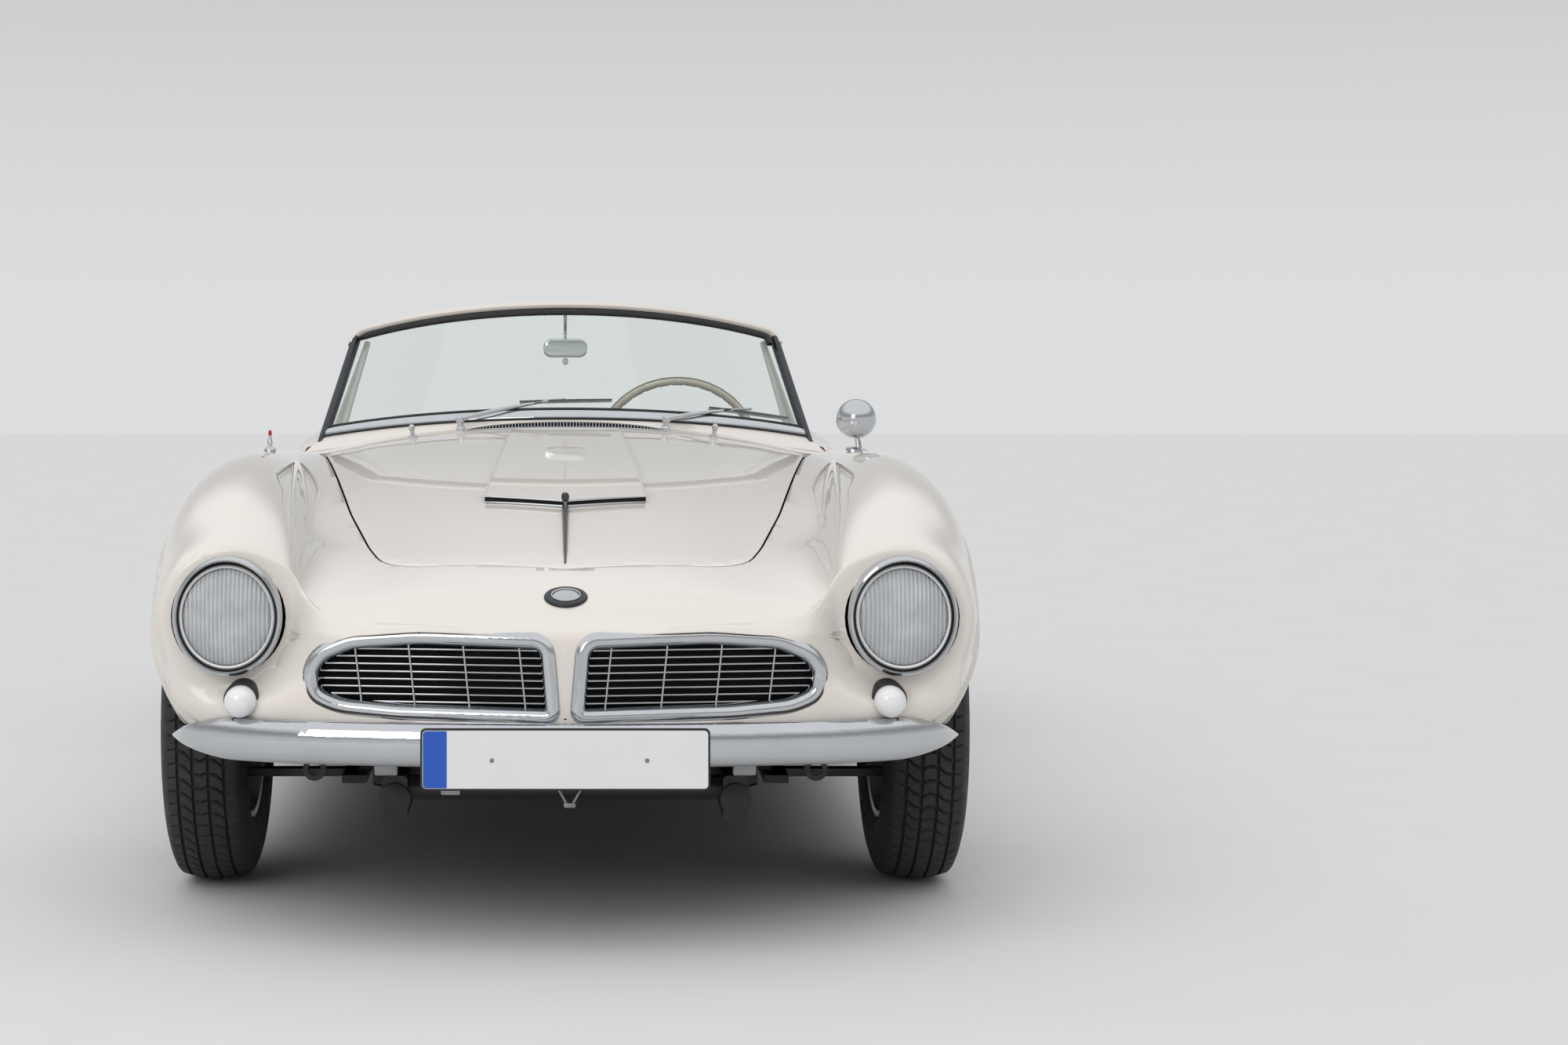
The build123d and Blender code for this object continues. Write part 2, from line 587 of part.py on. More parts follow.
# ---------------------------------------------------------------- windscreen
ScreenArc = namedtuple("ScreenArc", "half_width corner_run corner_z middle_run middle_z")
GLASS_FOOT = ScreenArc(609, 2000, 884, 1803, 934)
GLASS_HEAD = ScreenArc(538, 2200, 1147, 2022, 1215)
GLASS_THICK = 6
FRAME_THICK = 22
FOOTING_HEIGHT = 16
HEADER_HEIGHT = 14
PILLAR_R = 11


def screen_band(arc, thickness):
    """Sketch of a curved strip of the windscreen, bowed forward, in the plane that its foot or head lies in."""
    rise = arc.corner_z - arc.middle_z
    reach = arc.corner_run - arc.middle_run
    lean = atan2(rise, reach)
    chord = hypot(rise, reach)
    plane = Plane(origin=(0, at(arc.middle_run), arc.middle_z), x_dir=(1, 0, 0), z_dir=(0, -sin(lean), cos(lean)))
    w = arc.half_width
    with BuildSketch(plane) as band:
        with BuildLine():
            ThreePointArc((-w, chord), (0, 0), (w, chord))
            ThreePointArc((-w, chord + thickness), (0, thickness), (w, chord + thickness))
            for side in (1, -1):
                Line((side * w, chord), (side * w, chord + thickness))
        make_face()
    return band.sketch


with BuildPart() as windscreen_frame:
    add(screen_band(GLASS_FOOT, FRAME_THICK))
    extrude(amount=FOOTING_HEIGHT)
    add(screen_band(GLASS_HEAD, FRAME_THICK))
    extrude(amount=HEADER_HEIGHT)
    for side in (1, -1):
        foot = (side * GLASS_FOOT.half_width, GLASS_FOOT.corner_run + PILLAR_R, GLASS_FOOT.corner_z - 30)
        head = (side * GLASS_HEAD.half_width, GLASS_HEAD.corner_run + PILLAR_R, GLASS_HEAD.corner_z + 10)
        add(rod(foot, head, PILLAR_R))
    add(front_body.part, mode=Mode.SUBTRACT)
save(windscreen_frame.part, "windscreen_frame")

with BuildPart() as windscreen_glass:
    loft(sections=[screen_band(arc, GLASS_THICK).faces()[0] for arc in (GLASS_FOOT, GLASS_HEAD)], ruled=True)
    add(windscreen_frame.part, mode=Mode.SUBTRACT)
    add(front_body.part, mode=Mode.SUBTRACT)
save(windscreen_glass.part, "windscreen_glass")

# ---------------------------------------------------------------- cabin
WHEEL_X = 298
WHEEL_RUN = DOOR_FRONT + 375
WHEEL_Z = 836
WHEEL_R = 205
WHEEL_TUBE_R = 12.5
HUB_R = 44
COLUMN_TILT = radians(25)  # above level
COLUMN_R = 22
COLUMN_PIN_R = 14
DASH_RUN = (DOOR_FRONT + 3, DOOR_FRONT + 65)


def on_column(distance):
    """A point on the steering column, a distance towards the driver from the hand wheel's middle."""
    return (WHEEL_X, WHEEL_RUN + distance * cos(COLUMN_TILT), WHEEL_Z + distance * sin(COLUMN_TILT))


with BuildPart() as steering_column:
    add(rod(on_column(-1000), on_column(-30), COLUMN_R))
    add(rod(on_column(-31), on_column(14), COLUMN_PIN_R))
    add(block((-HUGE, HUGE), (0, FIREWALL_RUN + PLATE), (0, ROOF_Z)), mode=Mode.SUBTRACT)
save(steering_column.part, "steering_column")

with BuildPart() as dashboard:
    add(block((-640, 640), DASH_RUN, (660, 832)))
    add(rod(on_column(-1000), on_column(-30), COLUMN_R), mode=Mode.SUBTRACT)
save(dashboard.part, "dashboard")

wheel_plane = Plane(
    origin=(WHEEL_X, at(WHEEL_RUN), WHEEL_Z), x_dir=(1, 0, 0), z_dir=(0, cos(COLUMN_TILT), sin(COLUMN_TILT))
)
with BuildPart(wheel_plane) as steering_wheel:
    Torus(WHEEL_R, WHEEL_TUBE_R)
    with BuildSketch(wheel_plane.offset(-8)):
        for angle in (0, 180, 270):
            with PolarLocations(WHEEL_R / 2, 1, start_angle=angle):
                Rectangle(WHEEL_R - WHEEL_TUBE_R + 6, 22)
        Circle(HUB_R)
    extrude(amount=16)
    with BuildSketch(wheel_plane.offset(-20)):
        Circle(HUB_R)
    extrude(amount=HUB_R)
    with BuildSketch(wheel_plane.offset(-25)):
        Circle(COLUMN_PIN_R + RUN_FIT)
    extrude(amount=43, mode=Mode.SUBTRACT)
save(steering_wheel.part, "steering_wheel")

SEAT_X = 345
SEAT_WIDTH = 450
SEAT_RUN = (DOOR_REAR - 365, DOOR_REAR + 125)
CUSHION_TOP = 440
BACK_PROFILE = [
    (SEAT_RUN[1] + 5, 330),
    (SEAT_RUN[1] + 120, 820),
    (SEAT_RUN[1] + 10, 835),
    (SEAT_RUN[1] - 110, CUSHION_TOP + 6),
    (SEAT_RUN[1] + 5, CUSHION_TOP + 6),
]
with BuildPart() as seats:
    for side in (1, -1):
        with BuildSketch(Plane.XY.offset(FLOOR_Z + FLOOR_THICK)):
            with Locations((side * SEAT_X, at(sum(SEAT_RUN) / 2))):
                RectangleRounded(SEAT_WIDTH - 30, SEAT_RUN[1] - SEAT_RUN[0], 60)
        extrude(amount=CUSHION_TOP - FLOOR_Z - FLOOR_THICK)
        inner = side * SEAT_X - SEAT_WIDTH / 2
        with BuildSketch(Plane.YZ.offset(inner)):
            with BuildLine():
                Polyline(*[(at(run), z) for run, z in BACK_PROFILE], close=True)
            make_face()
        extrude(amount=SEAT_WIDTH)
save(seats.part, "seats")

# ---------------------------------------------------------------- wheels
RIM_LIP = 12
RIM_PROFILE = [
    (-RIM_WIDTH / 2 - 6, RIM_R + RIM_LIP),
    (-RIM_WIDTH / 2, RIM_R + RIM_LIP),
    (-RIM_WIDTH / 2, RIM_R),
    (RIM_WIDTH / 2, RIM_R),
    (RIM_WIDTH / 2, RIM_R + RIM_LIP),
    (RIM_WIDTH / 2 + 6, RIM_R + RIM_LIP),
    (RIM_WIDTH / 2 + 6, RIM_R - 10),
    (54, RIM_R - 14),
    (44, 42),
    (88, 36),
    (95, 20),
    (95, 0),
    (HUB_REACH + 4, 0),
    (HUB_REACH + 4, AXLE_PIN_R + RUN_FIT),
    (8, AXLE_PIN_R + RUN_FIT),
    (8, 42),
    (26, 44),
    (36, RIM_R - 14),
    (-RIM_WIDTH / 2 - 6, RIM_R - 12),
]
tyre_half = [(-60, RIM_R), (-64, RIM_R + 14), (-80, 240), (-TYRE_WIDTH / 2, 275)]
tyre_half += [(-80, TYRE_R - 33), (-66, TYRE_R - 12), (-46, TYRE_R - 3)]
TYRE_PROFILE = tyre_half + [(0, TYRE_R)] + [(-x, r) for x, r in reversed(tyre_half)]
SPINNER_HALF = 78
WHEELS = [
    ("fl", 1, TRACK_FRONT, FRONT_RUN),
    ("fr", -1, TRACK_FRONT, FRONT_RUN),
    ("rl", 1, TRACK_REAR, REAR_RUN),
    ("rr", -1, TRACK_REAR, REAR_RUN),
]
for name, side, track, run in WHEELS:
    centre = (side * track / 2, run, AXLE_Z)
    ears_x = sorted((side * (track / 2 + 72), side * (track / 2 + 92)))
    with BuildPart() as rim:
        add(turned(RIM_PROFILE, centre, side))
        add(block(ears_x, (run - 13, run + 13), (AXLE_Z - SPINNER_HALF, AXLE_Z + SPINNER_HALF)))
    save(rim.part, f"rim_{name}")
    with BuildPart() as tyre:
        add(turned(TYRE_PROFILE, centre, side))
    save(tyre.part, f"tyre_{name}")

# ---------------------------------------------------------------- bumpers and plates
Bumper = namedtuple("Bumper", "name inward middle_run bend_x bend_run end_x end_run z_low z_high")
BUMPERS = [
    Bumper("front_bumper", 1, 8, 545, 84, 767, 372, 355, 426),
    Bumper("rear_bumper", -1, LENGTH, 540, LENGTH - 58, 742, LENGTH - 230, 372, 440),
]
BUMPER_DEPTH = 32
BRACKET_X = (345, 375)
for b in BUMPERS:
    with BuildPart() as bumper:
        with BuildSketch(Plane.XY.offset(b.z_low)):
            with BuildLine():
                for depth in (0, BUMPER_DEPTH):
                    bend_x, bend_y = b.bend_x - depth / 4, at(b.bend_run + b.inward * depth)
                    end_x, end_y = b.end_x - depth, at(b.end_run)
                    middle = (0, at(b.middle_run + b.inward * depth))
                    face = ThreePointArc((-bend_x, bend_y), middle, (bend_x, bend_y))
                    TangentArc((bend_x, bend_y), (end_x, end_y), tangent=face % 1)
                    TangentArc((-bend_x, bend_y), (-end_x, end_y), tangent=(face % 0) * -1)
                for side in (1, -1):
                    Line((side * b.end_x, at(b.end_run)), (side * (b.end_x - BUMPER_DEPTH), at(b.end_run)))
            make_face()
        extrude(amount=b.z_high - b.z_low)
        fillet(bumper.edges().filter_by(GeomType.CIRCLE), 9)
        bracket_run = sorted((b.middle_run + b.inward * 50, b.middle_run + b.inward * 260))
        add(pair(BRACKET_X, bracket_run, (b.z_low + 8, b.z_low + 24)))
        for neighbour in (front_body, tail_body, chassis_frame):
            add(neighbour.part, mode=Mode.SUBTRACT)
    save(bumper.part, b.name)

PLATE_HALF = 260
PLATE_HEIGHT = 110
with BuildPart() as number_plates:
    add(block((-PLATE_HALF, PLATE_HALF), (0, PLATE), (318, 318 + PLATE_HEIGHT)))
    add(block((-PLATE_HALF, PLATE_HALF), (TAIL_END, TAIL_END + PLATE), (448, 448 + PLATE_HEIGHT)))
save(number_plates.part, "number_plates")

# ---------------------------------------------------------------- small lamps and fittings
INDICATOR_X, INDICATOR_Z, INDICATOR_RUN, INDICATOR_R = 618, 460, 125, 29
with BuildPart() as indicator_lamps:
    for side in (1, -1):
        back = (side * INDICATOR_X, INDICATOR_RUN + 60, INDICATOR_Z)
        front = (side * INDICATOR_X, INDICATOR_RUN, INDICATOR_Z)
        add(rod(back, front, INDICATOR_R, 0.72 * INDICATOR_R))
    add(nose_solid, mode=Mode.SUBTRACT)
save(indicator_lamps.part, "indicator_lamps")

TAIL_LAMP_X, TAIL_LAMP_Z, TAIL_LAMP_R = 575, 560, 34
with BuildPart() as tail_lamps:
    for side in (1, -1):
        inside = (side * TAIL_LAMP_X, TAIL_END - 85, TAIL_LAMP_Z)
        add(rod(inside, (side * TAIL_LAMP_X, TAIL_END + 15, TAIL_LAMP_Z), TAIL_LAMP_R))
    add(tail_solid, mode=Mode.SUBTRACT)
save(tail_lamps.part, "tail_lamps")

MIRROR_X, MIRROR_RUN, MIRROR_Z = WHEEL_X + 392, 1500, 943
with BuildPart() as wing_mirror:
    add(rod((MIRROR_X, MIRROR_RUN - 50, MIRROR_Z), (MIRROR_X, MIRROR_RUN + 56, MIRROR_Z), 30, 46))
    add(rod((MIRROR_X, MIRROR_RUN + 15, 850), (MIRROR_X, MIRROR_RUN + 15, MIRROR_Z - 10), 7))
    add(front_body.part, mode=Mode.SUBTRACT)
save(wing_mirror.part, "wing_mirror")

with BuildPart() as cabin_mirror:
    add(block((-56, 56), (2096, 2110), (1084, 1134)))
    add(rod((0, 2103, 1130), (0, 2040, 1222), 5))
    add(windscreen_frame.part, mode=Mode.SUBTRACT)
    add(windscreen_glass.part, mode=Mode.SUBTRACT)
save(cabin_mirror.part, "cabin_mirror")

with BuildPart() as aerial:
    add(rod((-672, 1300, 850), (-672, 1300, 925), 5))
    add(front_body.part, mode=Mode.SUBTRACT)
save(aerial.part, "aerial")

WIPER_BASE = (252, 1790, 925)
with BuildPart() as wipers:
    for side, tip in ((-1, (110, 1818, 966)), (1, (420, 1880, 955))):
        x, run, z = side * WIPER_BASE[0], WIPER_BASE[1], WIPER_BASE[2]
        add(rod((x, run, z - 40), (x, run, z), 8))
        add(rod((x, run, z), tip, 4))
    add(front_body.part, mode=Mode.SUBTRACT)
    add(windscreen_frame.part, mode=Mode.SUBTRACT)
save(wipers.part, "wipers")
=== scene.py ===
"""Dresses the open roadster: a smooth ivory skin cut into its panels, plated trim, tread tyres and leather seats."""

from collections import namedtuple
from math import atan2, copysign, cos, exp, hypot, pi, radians, sin, sqrt, tan, tau

import bmesh
import bpy
from mathutils import Matrix, Vector
from mathutils.bvhtree import BVHTree


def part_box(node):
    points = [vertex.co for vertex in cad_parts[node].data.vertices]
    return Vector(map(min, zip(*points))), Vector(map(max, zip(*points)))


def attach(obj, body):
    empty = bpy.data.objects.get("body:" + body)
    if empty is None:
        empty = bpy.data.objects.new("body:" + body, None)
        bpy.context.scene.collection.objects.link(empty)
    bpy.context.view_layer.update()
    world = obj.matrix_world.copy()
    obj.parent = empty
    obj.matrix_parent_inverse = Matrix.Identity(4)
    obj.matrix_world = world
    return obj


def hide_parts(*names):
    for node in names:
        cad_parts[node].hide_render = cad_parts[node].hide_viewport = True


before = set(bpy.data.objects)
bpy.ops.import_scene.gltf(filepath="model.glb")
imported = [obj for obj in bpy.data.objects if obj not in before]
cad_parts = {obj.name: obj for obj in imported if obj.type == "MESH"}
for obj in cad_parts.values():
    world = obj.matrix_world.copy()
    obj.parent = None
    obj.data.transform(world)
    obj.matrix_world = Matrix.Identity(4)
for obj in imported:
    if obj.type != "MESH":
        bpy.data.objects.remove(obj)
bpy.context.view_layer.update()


# ---------------- sizes shared with the construction, in metres
LENGTH = 4.38
FRONT_RUN = 0.81
REAR_RUN = 3.29
TRACK_FRONT = 1.445
TRACK_REAR = 1.425
TYRE_R = 0.345
ARCH_R = 0.37
DOOR_FRONT = 2.055
DOOR_REAR = 2.885
DOOR_SILL_Z = 0.3
SHUT_GAP = 0.0045  # what the eye sees between two panels


def at(run):
    """The Y of a distance behind the front plate."""
    return run - LENGTH / 2


FRONT_Y = at(FRONT_RUN)
REAR_Y = at(REAR_RUN)


# ---------------- mesh helpers
def in_scene(name, data):
    thing = bpy.data.objects.new(name, data)
    bpy.context.scene.collection.objects.link(thing)
    return thing


def finish_mesh(bm, name, material, sharp=35):
    """Turns a bmesh into an object with one material; edges over a number of degrees stay sharp."""
    mesh = bpy.data.meshes.new(name)
    bm.to_mesh(mesh)
    bm.free()
    piece = in_scene(name, mesh)
    mesh.shade_smooth()
    mesh.set_sharp_from_angle(angle=radians(sharp))
    mesh.materials.append(material)
    return piece


def carry(piece, body, slot, *nodes):
    """Puts a piece on the body it rides on and hides the nodes it stands for; the slot argument is not used."""
    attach(piece, body)
    if nodes:
        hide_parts(*nodes)
    return piece


def modify(piece, kind, **settings):
    modifier = piece.modifiers.new(kind.title(), kind)
    for key, value in settings.items():
        setattr(modifier, key, value)
    return modifier


def apply_modifiers(piece):
    """Bakes a piece's modifiers into its mesh."""
    graph = bpy.context.evaluated_depsgraph_get()
    baked = bpy.data.meshes.new_from_object(piece.evaluated_get(graph))
    piece.modifiers.clear()
    old, name = piece.data, piece.data.name
    piece.data = baked
    bpy.data.meshes.remove(old)
    baked.name = name


def face_out(bm):
    """Turns a bmesh's faces outwards."""
    bmesh.ops.recalc_face_normals(bm, faces=bm.faces)
    return bm


def join(bm, *others):
    """Adds other bmeshes to one."""
    for other in others:
        mesh = bpy.data.meshes.new("joined")
        other.to_mesh(mesh)
        other.free()
        bm.from_mesh(mesh)
        bpy.data.meshes.remove(mesh)
    return bm


def upward(height):
    return Vector((0, 0, height))


def mm(*points):
    """Points given in millimetres."""
    return [tuple(value / 1000 for value in point) for point in points]


def course(*points):
    """Points given as (x, distance behind the front plate, z)."""
    return [(x, at(run), z) for x, run, z in points]


def slide(*offset):
    return Matrix.Translation(offset)


def spun(degrees, axis):
    return Matrix.Rotation(radians(degrees), 4, axis)


def both_sides(bm):
    return join(bm, other_side(bm))


def facing(place, direction):
    """Stands a shape that was made along Z at a place, pointing in a direction."""
    return Matrix.Translation(place) @ Vector(direction).to_track_quat("Z", "Y").to_matrix().to_4x4()


def moved(bm, matrix):
    bmesh.ops.transform(bm, matrix=matrix, verts=bm.verts)
    return bm


def lathe(profile, steps=48):
    """Turns a profile of (radius, height) in metres about Z."""
    bm = bmesh.new()
    verts = [bm.verts.new((radius, 0, height)) for radius, height in profile]
    edges = [bm.edges.new(pair) for pair in zip(verts, verts[1:])]
    bmesh.ops.spin(
        bm, geom=verts + edges, cent=(0, 0, 0), axis=(0, 0, 1), dvec=(0, 0, 0), angle=tau, steps=steps,
        use_merge=True,
    )
    bmesh.ops.remove_doubles(bm, verts=bm.verts, dist=1e-6)
    return face_out(bm)


def turned(profile, steps, place, direction):
    """A lathed part that stands at a place, pointing in a direction."""
    return moved(lathe(profile, steps), facing(place, direction))


def loft(rings, closed=True, capped=True):
    """Bridges rings of points, each with as many points as the last, and closes the ends."""
    bm = bmesh.new()
    rows = [[bm.verts.new(point) for point in ring] for ring in rings]
    for row in rows:
        for a, b in zip(row, row[1:] + row[:1] if closed else row[1:]):
            bm.edges.new((a, b))
    for one, other in zip(rows, rows[1:]):
        edges = [
            e for row in (one, other) for e in {e for v in row for e in v.link_edges} if set(e.verts) <= set(row)
        ]
        bmesh.ops.bridge_loops(bm, edges=edges)
    if closed and capped:
        for row in (rows[0], rows[-1]):
            bmesh.ops.contextual_create(bm, geom=row)
    return face_out(bm)


def slab(low, high, edge=0.0, segments=3):
    """A box between two corners with eased edges."""
    low, high = Vector(low), Vector(high)
    bm = bmesh.new()
    bmesh.ops.create_cube(bm, size=1.0)
    bmesh.ops.scale(bm, vec=high - low, verts=bm.verts)
    bmesh.ops.translate(bm, vec=(low + high) / 2, verts=bm.verts)
    if edge:
        ease_edges(bm, bm.edges[:], edge, segments)
    return bm


def block(low, high, edge=0.0, segments=3):
    """A slab whose corners are given by their distance behind the front plate."""
    return slab(*course(low, high), edge, segments)


def ease_edges(bm, edges, width, segments=3):
    bmesh.ops.bevel(
        bm, geom=edges, offset=width, segments=segments, profile=0.5, affect="EDGES", material=-1, clamp_overlap=True
    )


def new_verts(made):
    return [g for g in made["geom"] if isinstance(g, bmesh.types.BMVert)]


def plate_of(outline, thick, edge=0.0):
    """A flat plate with an outline in XY, standing from z = 0 to its thickness, with its upper edge eased."""
    bm = bmesh.new()
    face = bm.faces.new([bm.verts.new((p.x, p.y, 0)) for p in outline])
    raised = bmesh.ops.extrude_face_region(bm, geom=[face], use_keep_orig=True)
    bmesh.ops.translate(bm, vec=(0, 0, thick), verts=new_verts(raised))
    face_out(bm)
    if edge:
        ease_edges(bm, [e for e in bm.edges if all(v.co.z > thick / 2 for v in e.verts)], edge)
    return bm


def wire(name, points, radius, material, radii=None, smooth=True):
    """A bent rod or strip: a curve with a round section."""
    data = bpy.data.curves.new(name, "CURVE")
    data.dimensions = "3D"
    data.bevel_depth = radius
    data.bevel_resolution = 4
    data.use_fill_caps = True
    spline = data.splines.new("NURBS" if smooth else "POLY")
    spline.points.add(len(points) - 1)
    for i, point in enumerate(points):
        spline.points[i].co = (*point, 1)
        spline.points[i].radius = radii[i] if radii else 1.0
    if smooth:
        spline.order_u = min(4, len(points))
        spline.use_endpoint_u = True
        spline.resolution_u = 6
    piece = in_scene(name, data)
    if material:
        data.materials.append(material)
    return piece


def mesh_of(piece):
    """Turns a curve into a bmesh and removes the curve."""
    graph = bpy.context.evaluated_depsgraph_get()
    mesh = bpy.data.meshes.new_from_object(piece.evaluated_get(graph))
    bm = bmesh.new()
    bm.from_mesh(mesh)
    bpy.data.meshes.remove(mesh)
    bpy.data.objects.remove(piece)
    return bm


def rod_mesh(points, radius, radii=None, smooth=True):
    return mesh_of(wire("rod", points, radius, None, radii, smooth))


def bent(radius, *points, smooth=True):
    """A rod through points given as (x, distance behind the front plate, z)."""
    return rod_mesh(course(*points), radius, smooth=smooth)


def fit_out(bm, name, material, *nodes, body="car_body", slot=None, **look):
    """Finishes a bmesh as a piece, on the car's fixed body unless told otherwise; its material's slot, or the one
    given, is passed on but not used.
    """
    return carry(finish_mesh(bm, name, material, **look), body, slot or SLOT_OF[material.name], *nodes)


# ---------------- materials
def linear(hex_colour):
    """An sRGB hex colour as linear RGBA."""
    values = [int(hex_colour[i : i + 2], 16) / 255 for i in (1, 3, 5)]
    return (*[v / 12.92 if v <= 0.04045 else ((v + 0.055) / 1.055) ** 2.4 for v in values], 1.0)


def set_inputs(node, **inputs):
    """Sets inputs, named or numbered as _0, each to a value or to another node's output socket."""
    for key, value in inputs.items():
        socket = node.inputs[int(key[1:]) if key[0] == "_" else key.replace("_", " ")]
        if isinstance(value, bpy.types.NodeSocket):
            node.id_data.links.new(value, socket)
        else:
            socket.default_value = value
    return node


def add_node(near, kind, settings=None, **inputs):
    """Adds a node to the tree that another node, socket or tree belongs to."""
    node = near.id_data.nodes.new(kind)
    for key, value in (settings or {}).items():
        setattr(node, key, value)
    return set_inputs(node, **inputs)


def new_material(name):
    material = bpy.data.materials.new(name)
    material.use_nodes = True
    tree = material.node_tree
    shader = tree.nodes["Principled BSDF"]
    return material, shader, add_node(tree, "ShaderNodeTexCoord").outputs["Object"]


def add_bump(shader, height, strength, distance):
    bump = add_node(shader, "ShaderNodeBump", Strength=strength, Distance=distance, Height=height)
    set_inputs(shader, Normal=bump.outputs["Normal"])


def noise(place, scale, detail=3.0):
    return add_node(place, "ShaderNodeTexNoise", Vector=place, Scale=scale, Detail=detail).outputs["Fac"]


def spread(value, low, high):
    """Maps a pattern's middle range onto low to high."""
    ranged = {"From_Min": 0.35, "From_Max": 0.65, "To_Min": low, "To_Max": high}
    return add_node(value, "ShaderNodeMapRange", Value=value, **ranged).outputs["Result"]


def mix_colours(factor, one, other):
    mixer = add_node(factor, "ShaderNodeMix", {"data_type": "RGBA"}, _0=factor, _6=linear(one), _7=linear(other))
    return mixer.outputs[2]


def surface(name, colour, mottle, patch_mm, roughness, grain_mm, grain, metallic=0.0, **sockets):
    """A finish with a faint cloudy colour, an uneven gloss (low, high) and a grain of a real size in millimetres."""
    material, shader, place = new_material(name)
    base = mix_colours(noise(place, 1000 / patch_mm), colour, mottle)
    gloss = spread(noise(place, 2600 / patch_mm, 4.0), *roughness)
    add_bump(shader, noise(place, 1000 / grain_mm, 2.0), grain, grain_mm * MM)
    set_inputs(shader, Base_Color=base, Roughness=gloss, Metallic=metallic, **sockets)
    return material


def stitched_leather(name, colour, worn):
    """Hide with pebbled grain about 1.5 mm across, lighter where it is rubbed."""
    material, shader, place = new_material(name)
    wear = noise(place, 9.0, 5.0)
    base = mix_colours(spread(wear, 0, 1), colour, worn)
    gloss = spread(wear, 0.38, 0.52)
    pebble = add_node(place, "ShaderNodeTexVoronoi", {"feature": "DISTANCE_TO_EDGE"}, Vector=place, Scale=420.0)
    add_bump(shader, pebble.outputs["Distance"], 0.35, 0.0008)
    set_inputs(shader, Base_Color=base, Roughness=gloss, Sheen_Weight=0.08, Specular_IOR_Level=0.4)
    return material


def fluted_glass():
    """Pressed headlamp glass: upright flutes 7 mm apart, drawn a little coarser than real so that they show; their
    light and dark stripes are also painted into its colour as painted shade, with broad lighter patches as painted
    reflections.
    """
    material, shader, place = new_material("fluted_glass")
    flutes = add_node(
        place, "ShaderNodeTexWave", {"bands_direction": "X"}, Vector=place, Scale=40.0, Distortion=0.3, Detail=0.0
    )
    painted_reflection_patches = add_node(place, "ShaderNodeTexVoronoi", Vector=place, Scale=26.0)
    # Painted shade and painted reflection: the flutes' light and dark stripes and broad lighter patches are painted
    # into the glass's colour.
    painted_shade = mix_colours(flutes.outputs["Fac"], "#FFFFFF", "#DDE2E6")
    tint = mix_colours(spread(painted_reflection_patches.outputs["Distance"], 0.0, 0.9), "#FFFFFF", "#EBEDEF")
    both = add_node(
        place, "ShaderNodeMix", {"data_type": "RGBA", "blend_type": "MULTIPLY"}, Factor=0.6, _6=painted_shade, _7=tint
    )
    add_bump(shader, flutes.outputs["Fac"], 0.6, 0.004)
    set_inputs(shader, Base_Color=both.outputs[2], Roughness=0.04, IOR=1.5, Transmission_Weight=0.5)
    return material


def sheet_glass():
    """Laminated screen glass: clear with a breath of green, and a faint smear from the wipers."""
    material, shader, place = new_material("screen_glass")
    smear = spread(noise(place, 14.0, 5.0), 0.0, 0.03)
    set_inputs(shader, Base_Color=linear("#EFF5F2"), Roughness=smear, IOR=1.45, Transmission_Weight=1.0)
    return material


def red_lens():
    """Moulded ruby plastic with small prisms 6 mm across inside."""
    material, shader, place = new_material("ruby_lens")
    prisms = add_node(place, "ShaderNodeTexChecker", Vector=place, Scale=165.0)
    add_bump(shader, prisms.outputs["Fac"], 0.3, 0.001)
    set_inputs(shader, Base_Color=linear("#B01218"), Roughness=0.12, Transmission_Weight=0.25, Coat_Weight=1.0)
    return material


def looped_carpet():
    """Wool loop carpet: loops of 4 mm, dark and matt."""
    material, shader, place = new_material("loop_carpet")
    loops = add_node(place, "ShaderNodeTexVoronoi", Vector=place, Scale=250.0)
    base = mix_colours(loops.outputs["Distance"], "#3A2A26", "#1D1513")
    add_bump(shader, loops.outputs["Distance"], 0.9, 0.003)
    set_inputs(shader, Base_Color=base, Roughness=0.95, Sheen_Weight=0.3)
    return material


MM = 0.001
# Cellulose lacquer, sprayed and flatted: a soft ivory under a clear gloss, with a trace of orange peel.
LACQUER = surface(
    "ivory_lacquer", "#DCD5CE", "#D8D1C9", 600, (0.3, 0.36), 4, 0.02, Coat_Weight=1.0, Coat_Roughness=0.015
)
# Chromium over nickel: nearly a mirror, with a slight wave left by polishing.
CHROME = surface("chrome_plate", "#CDCFD2", "#C3C6CA", 90, (0.035, 0.075), 30, 0.02, metallic=1.0)
# Polished stainless strip for the slats, a little softer than the plating.
BRIGHT_STRIP = surface("stainless_strip", "#C4C6C9", "#B4B7BB", 40, (0.1, 0.2), 2, 0.03, metallic=1.0)
# Plating given a darker colour than the chrome; on the screen posts this is painted dark reflection of an unlit room.
DARKENED_CHROME = surface("darkened_chrome", "#55565A", "#4A4B4F", 40, (0.18, 0.28), 3, 0.03, metallic=1.0)
# Vulcanised rubber: matt, with a bloom that lightens it in patches.
RUBBER = surface("moulded_rubber", "#1A1A1B", "#232324", 30, (0.5, 0.68), 1.2, 0.15)
TYRE_RUBBER = surface("tyre_rubber", "#222223", "#2F2F2E", 60, (0.62, 0.82), 1.6, 0.25)
# Stove enamel on the frame and the pressings, slightly pebbled.
BLACK_ENAMEL = surface("stove_enamel", "#1B1B1C", "#141415", 80, (0.3, 0.45), 5, 0.08)
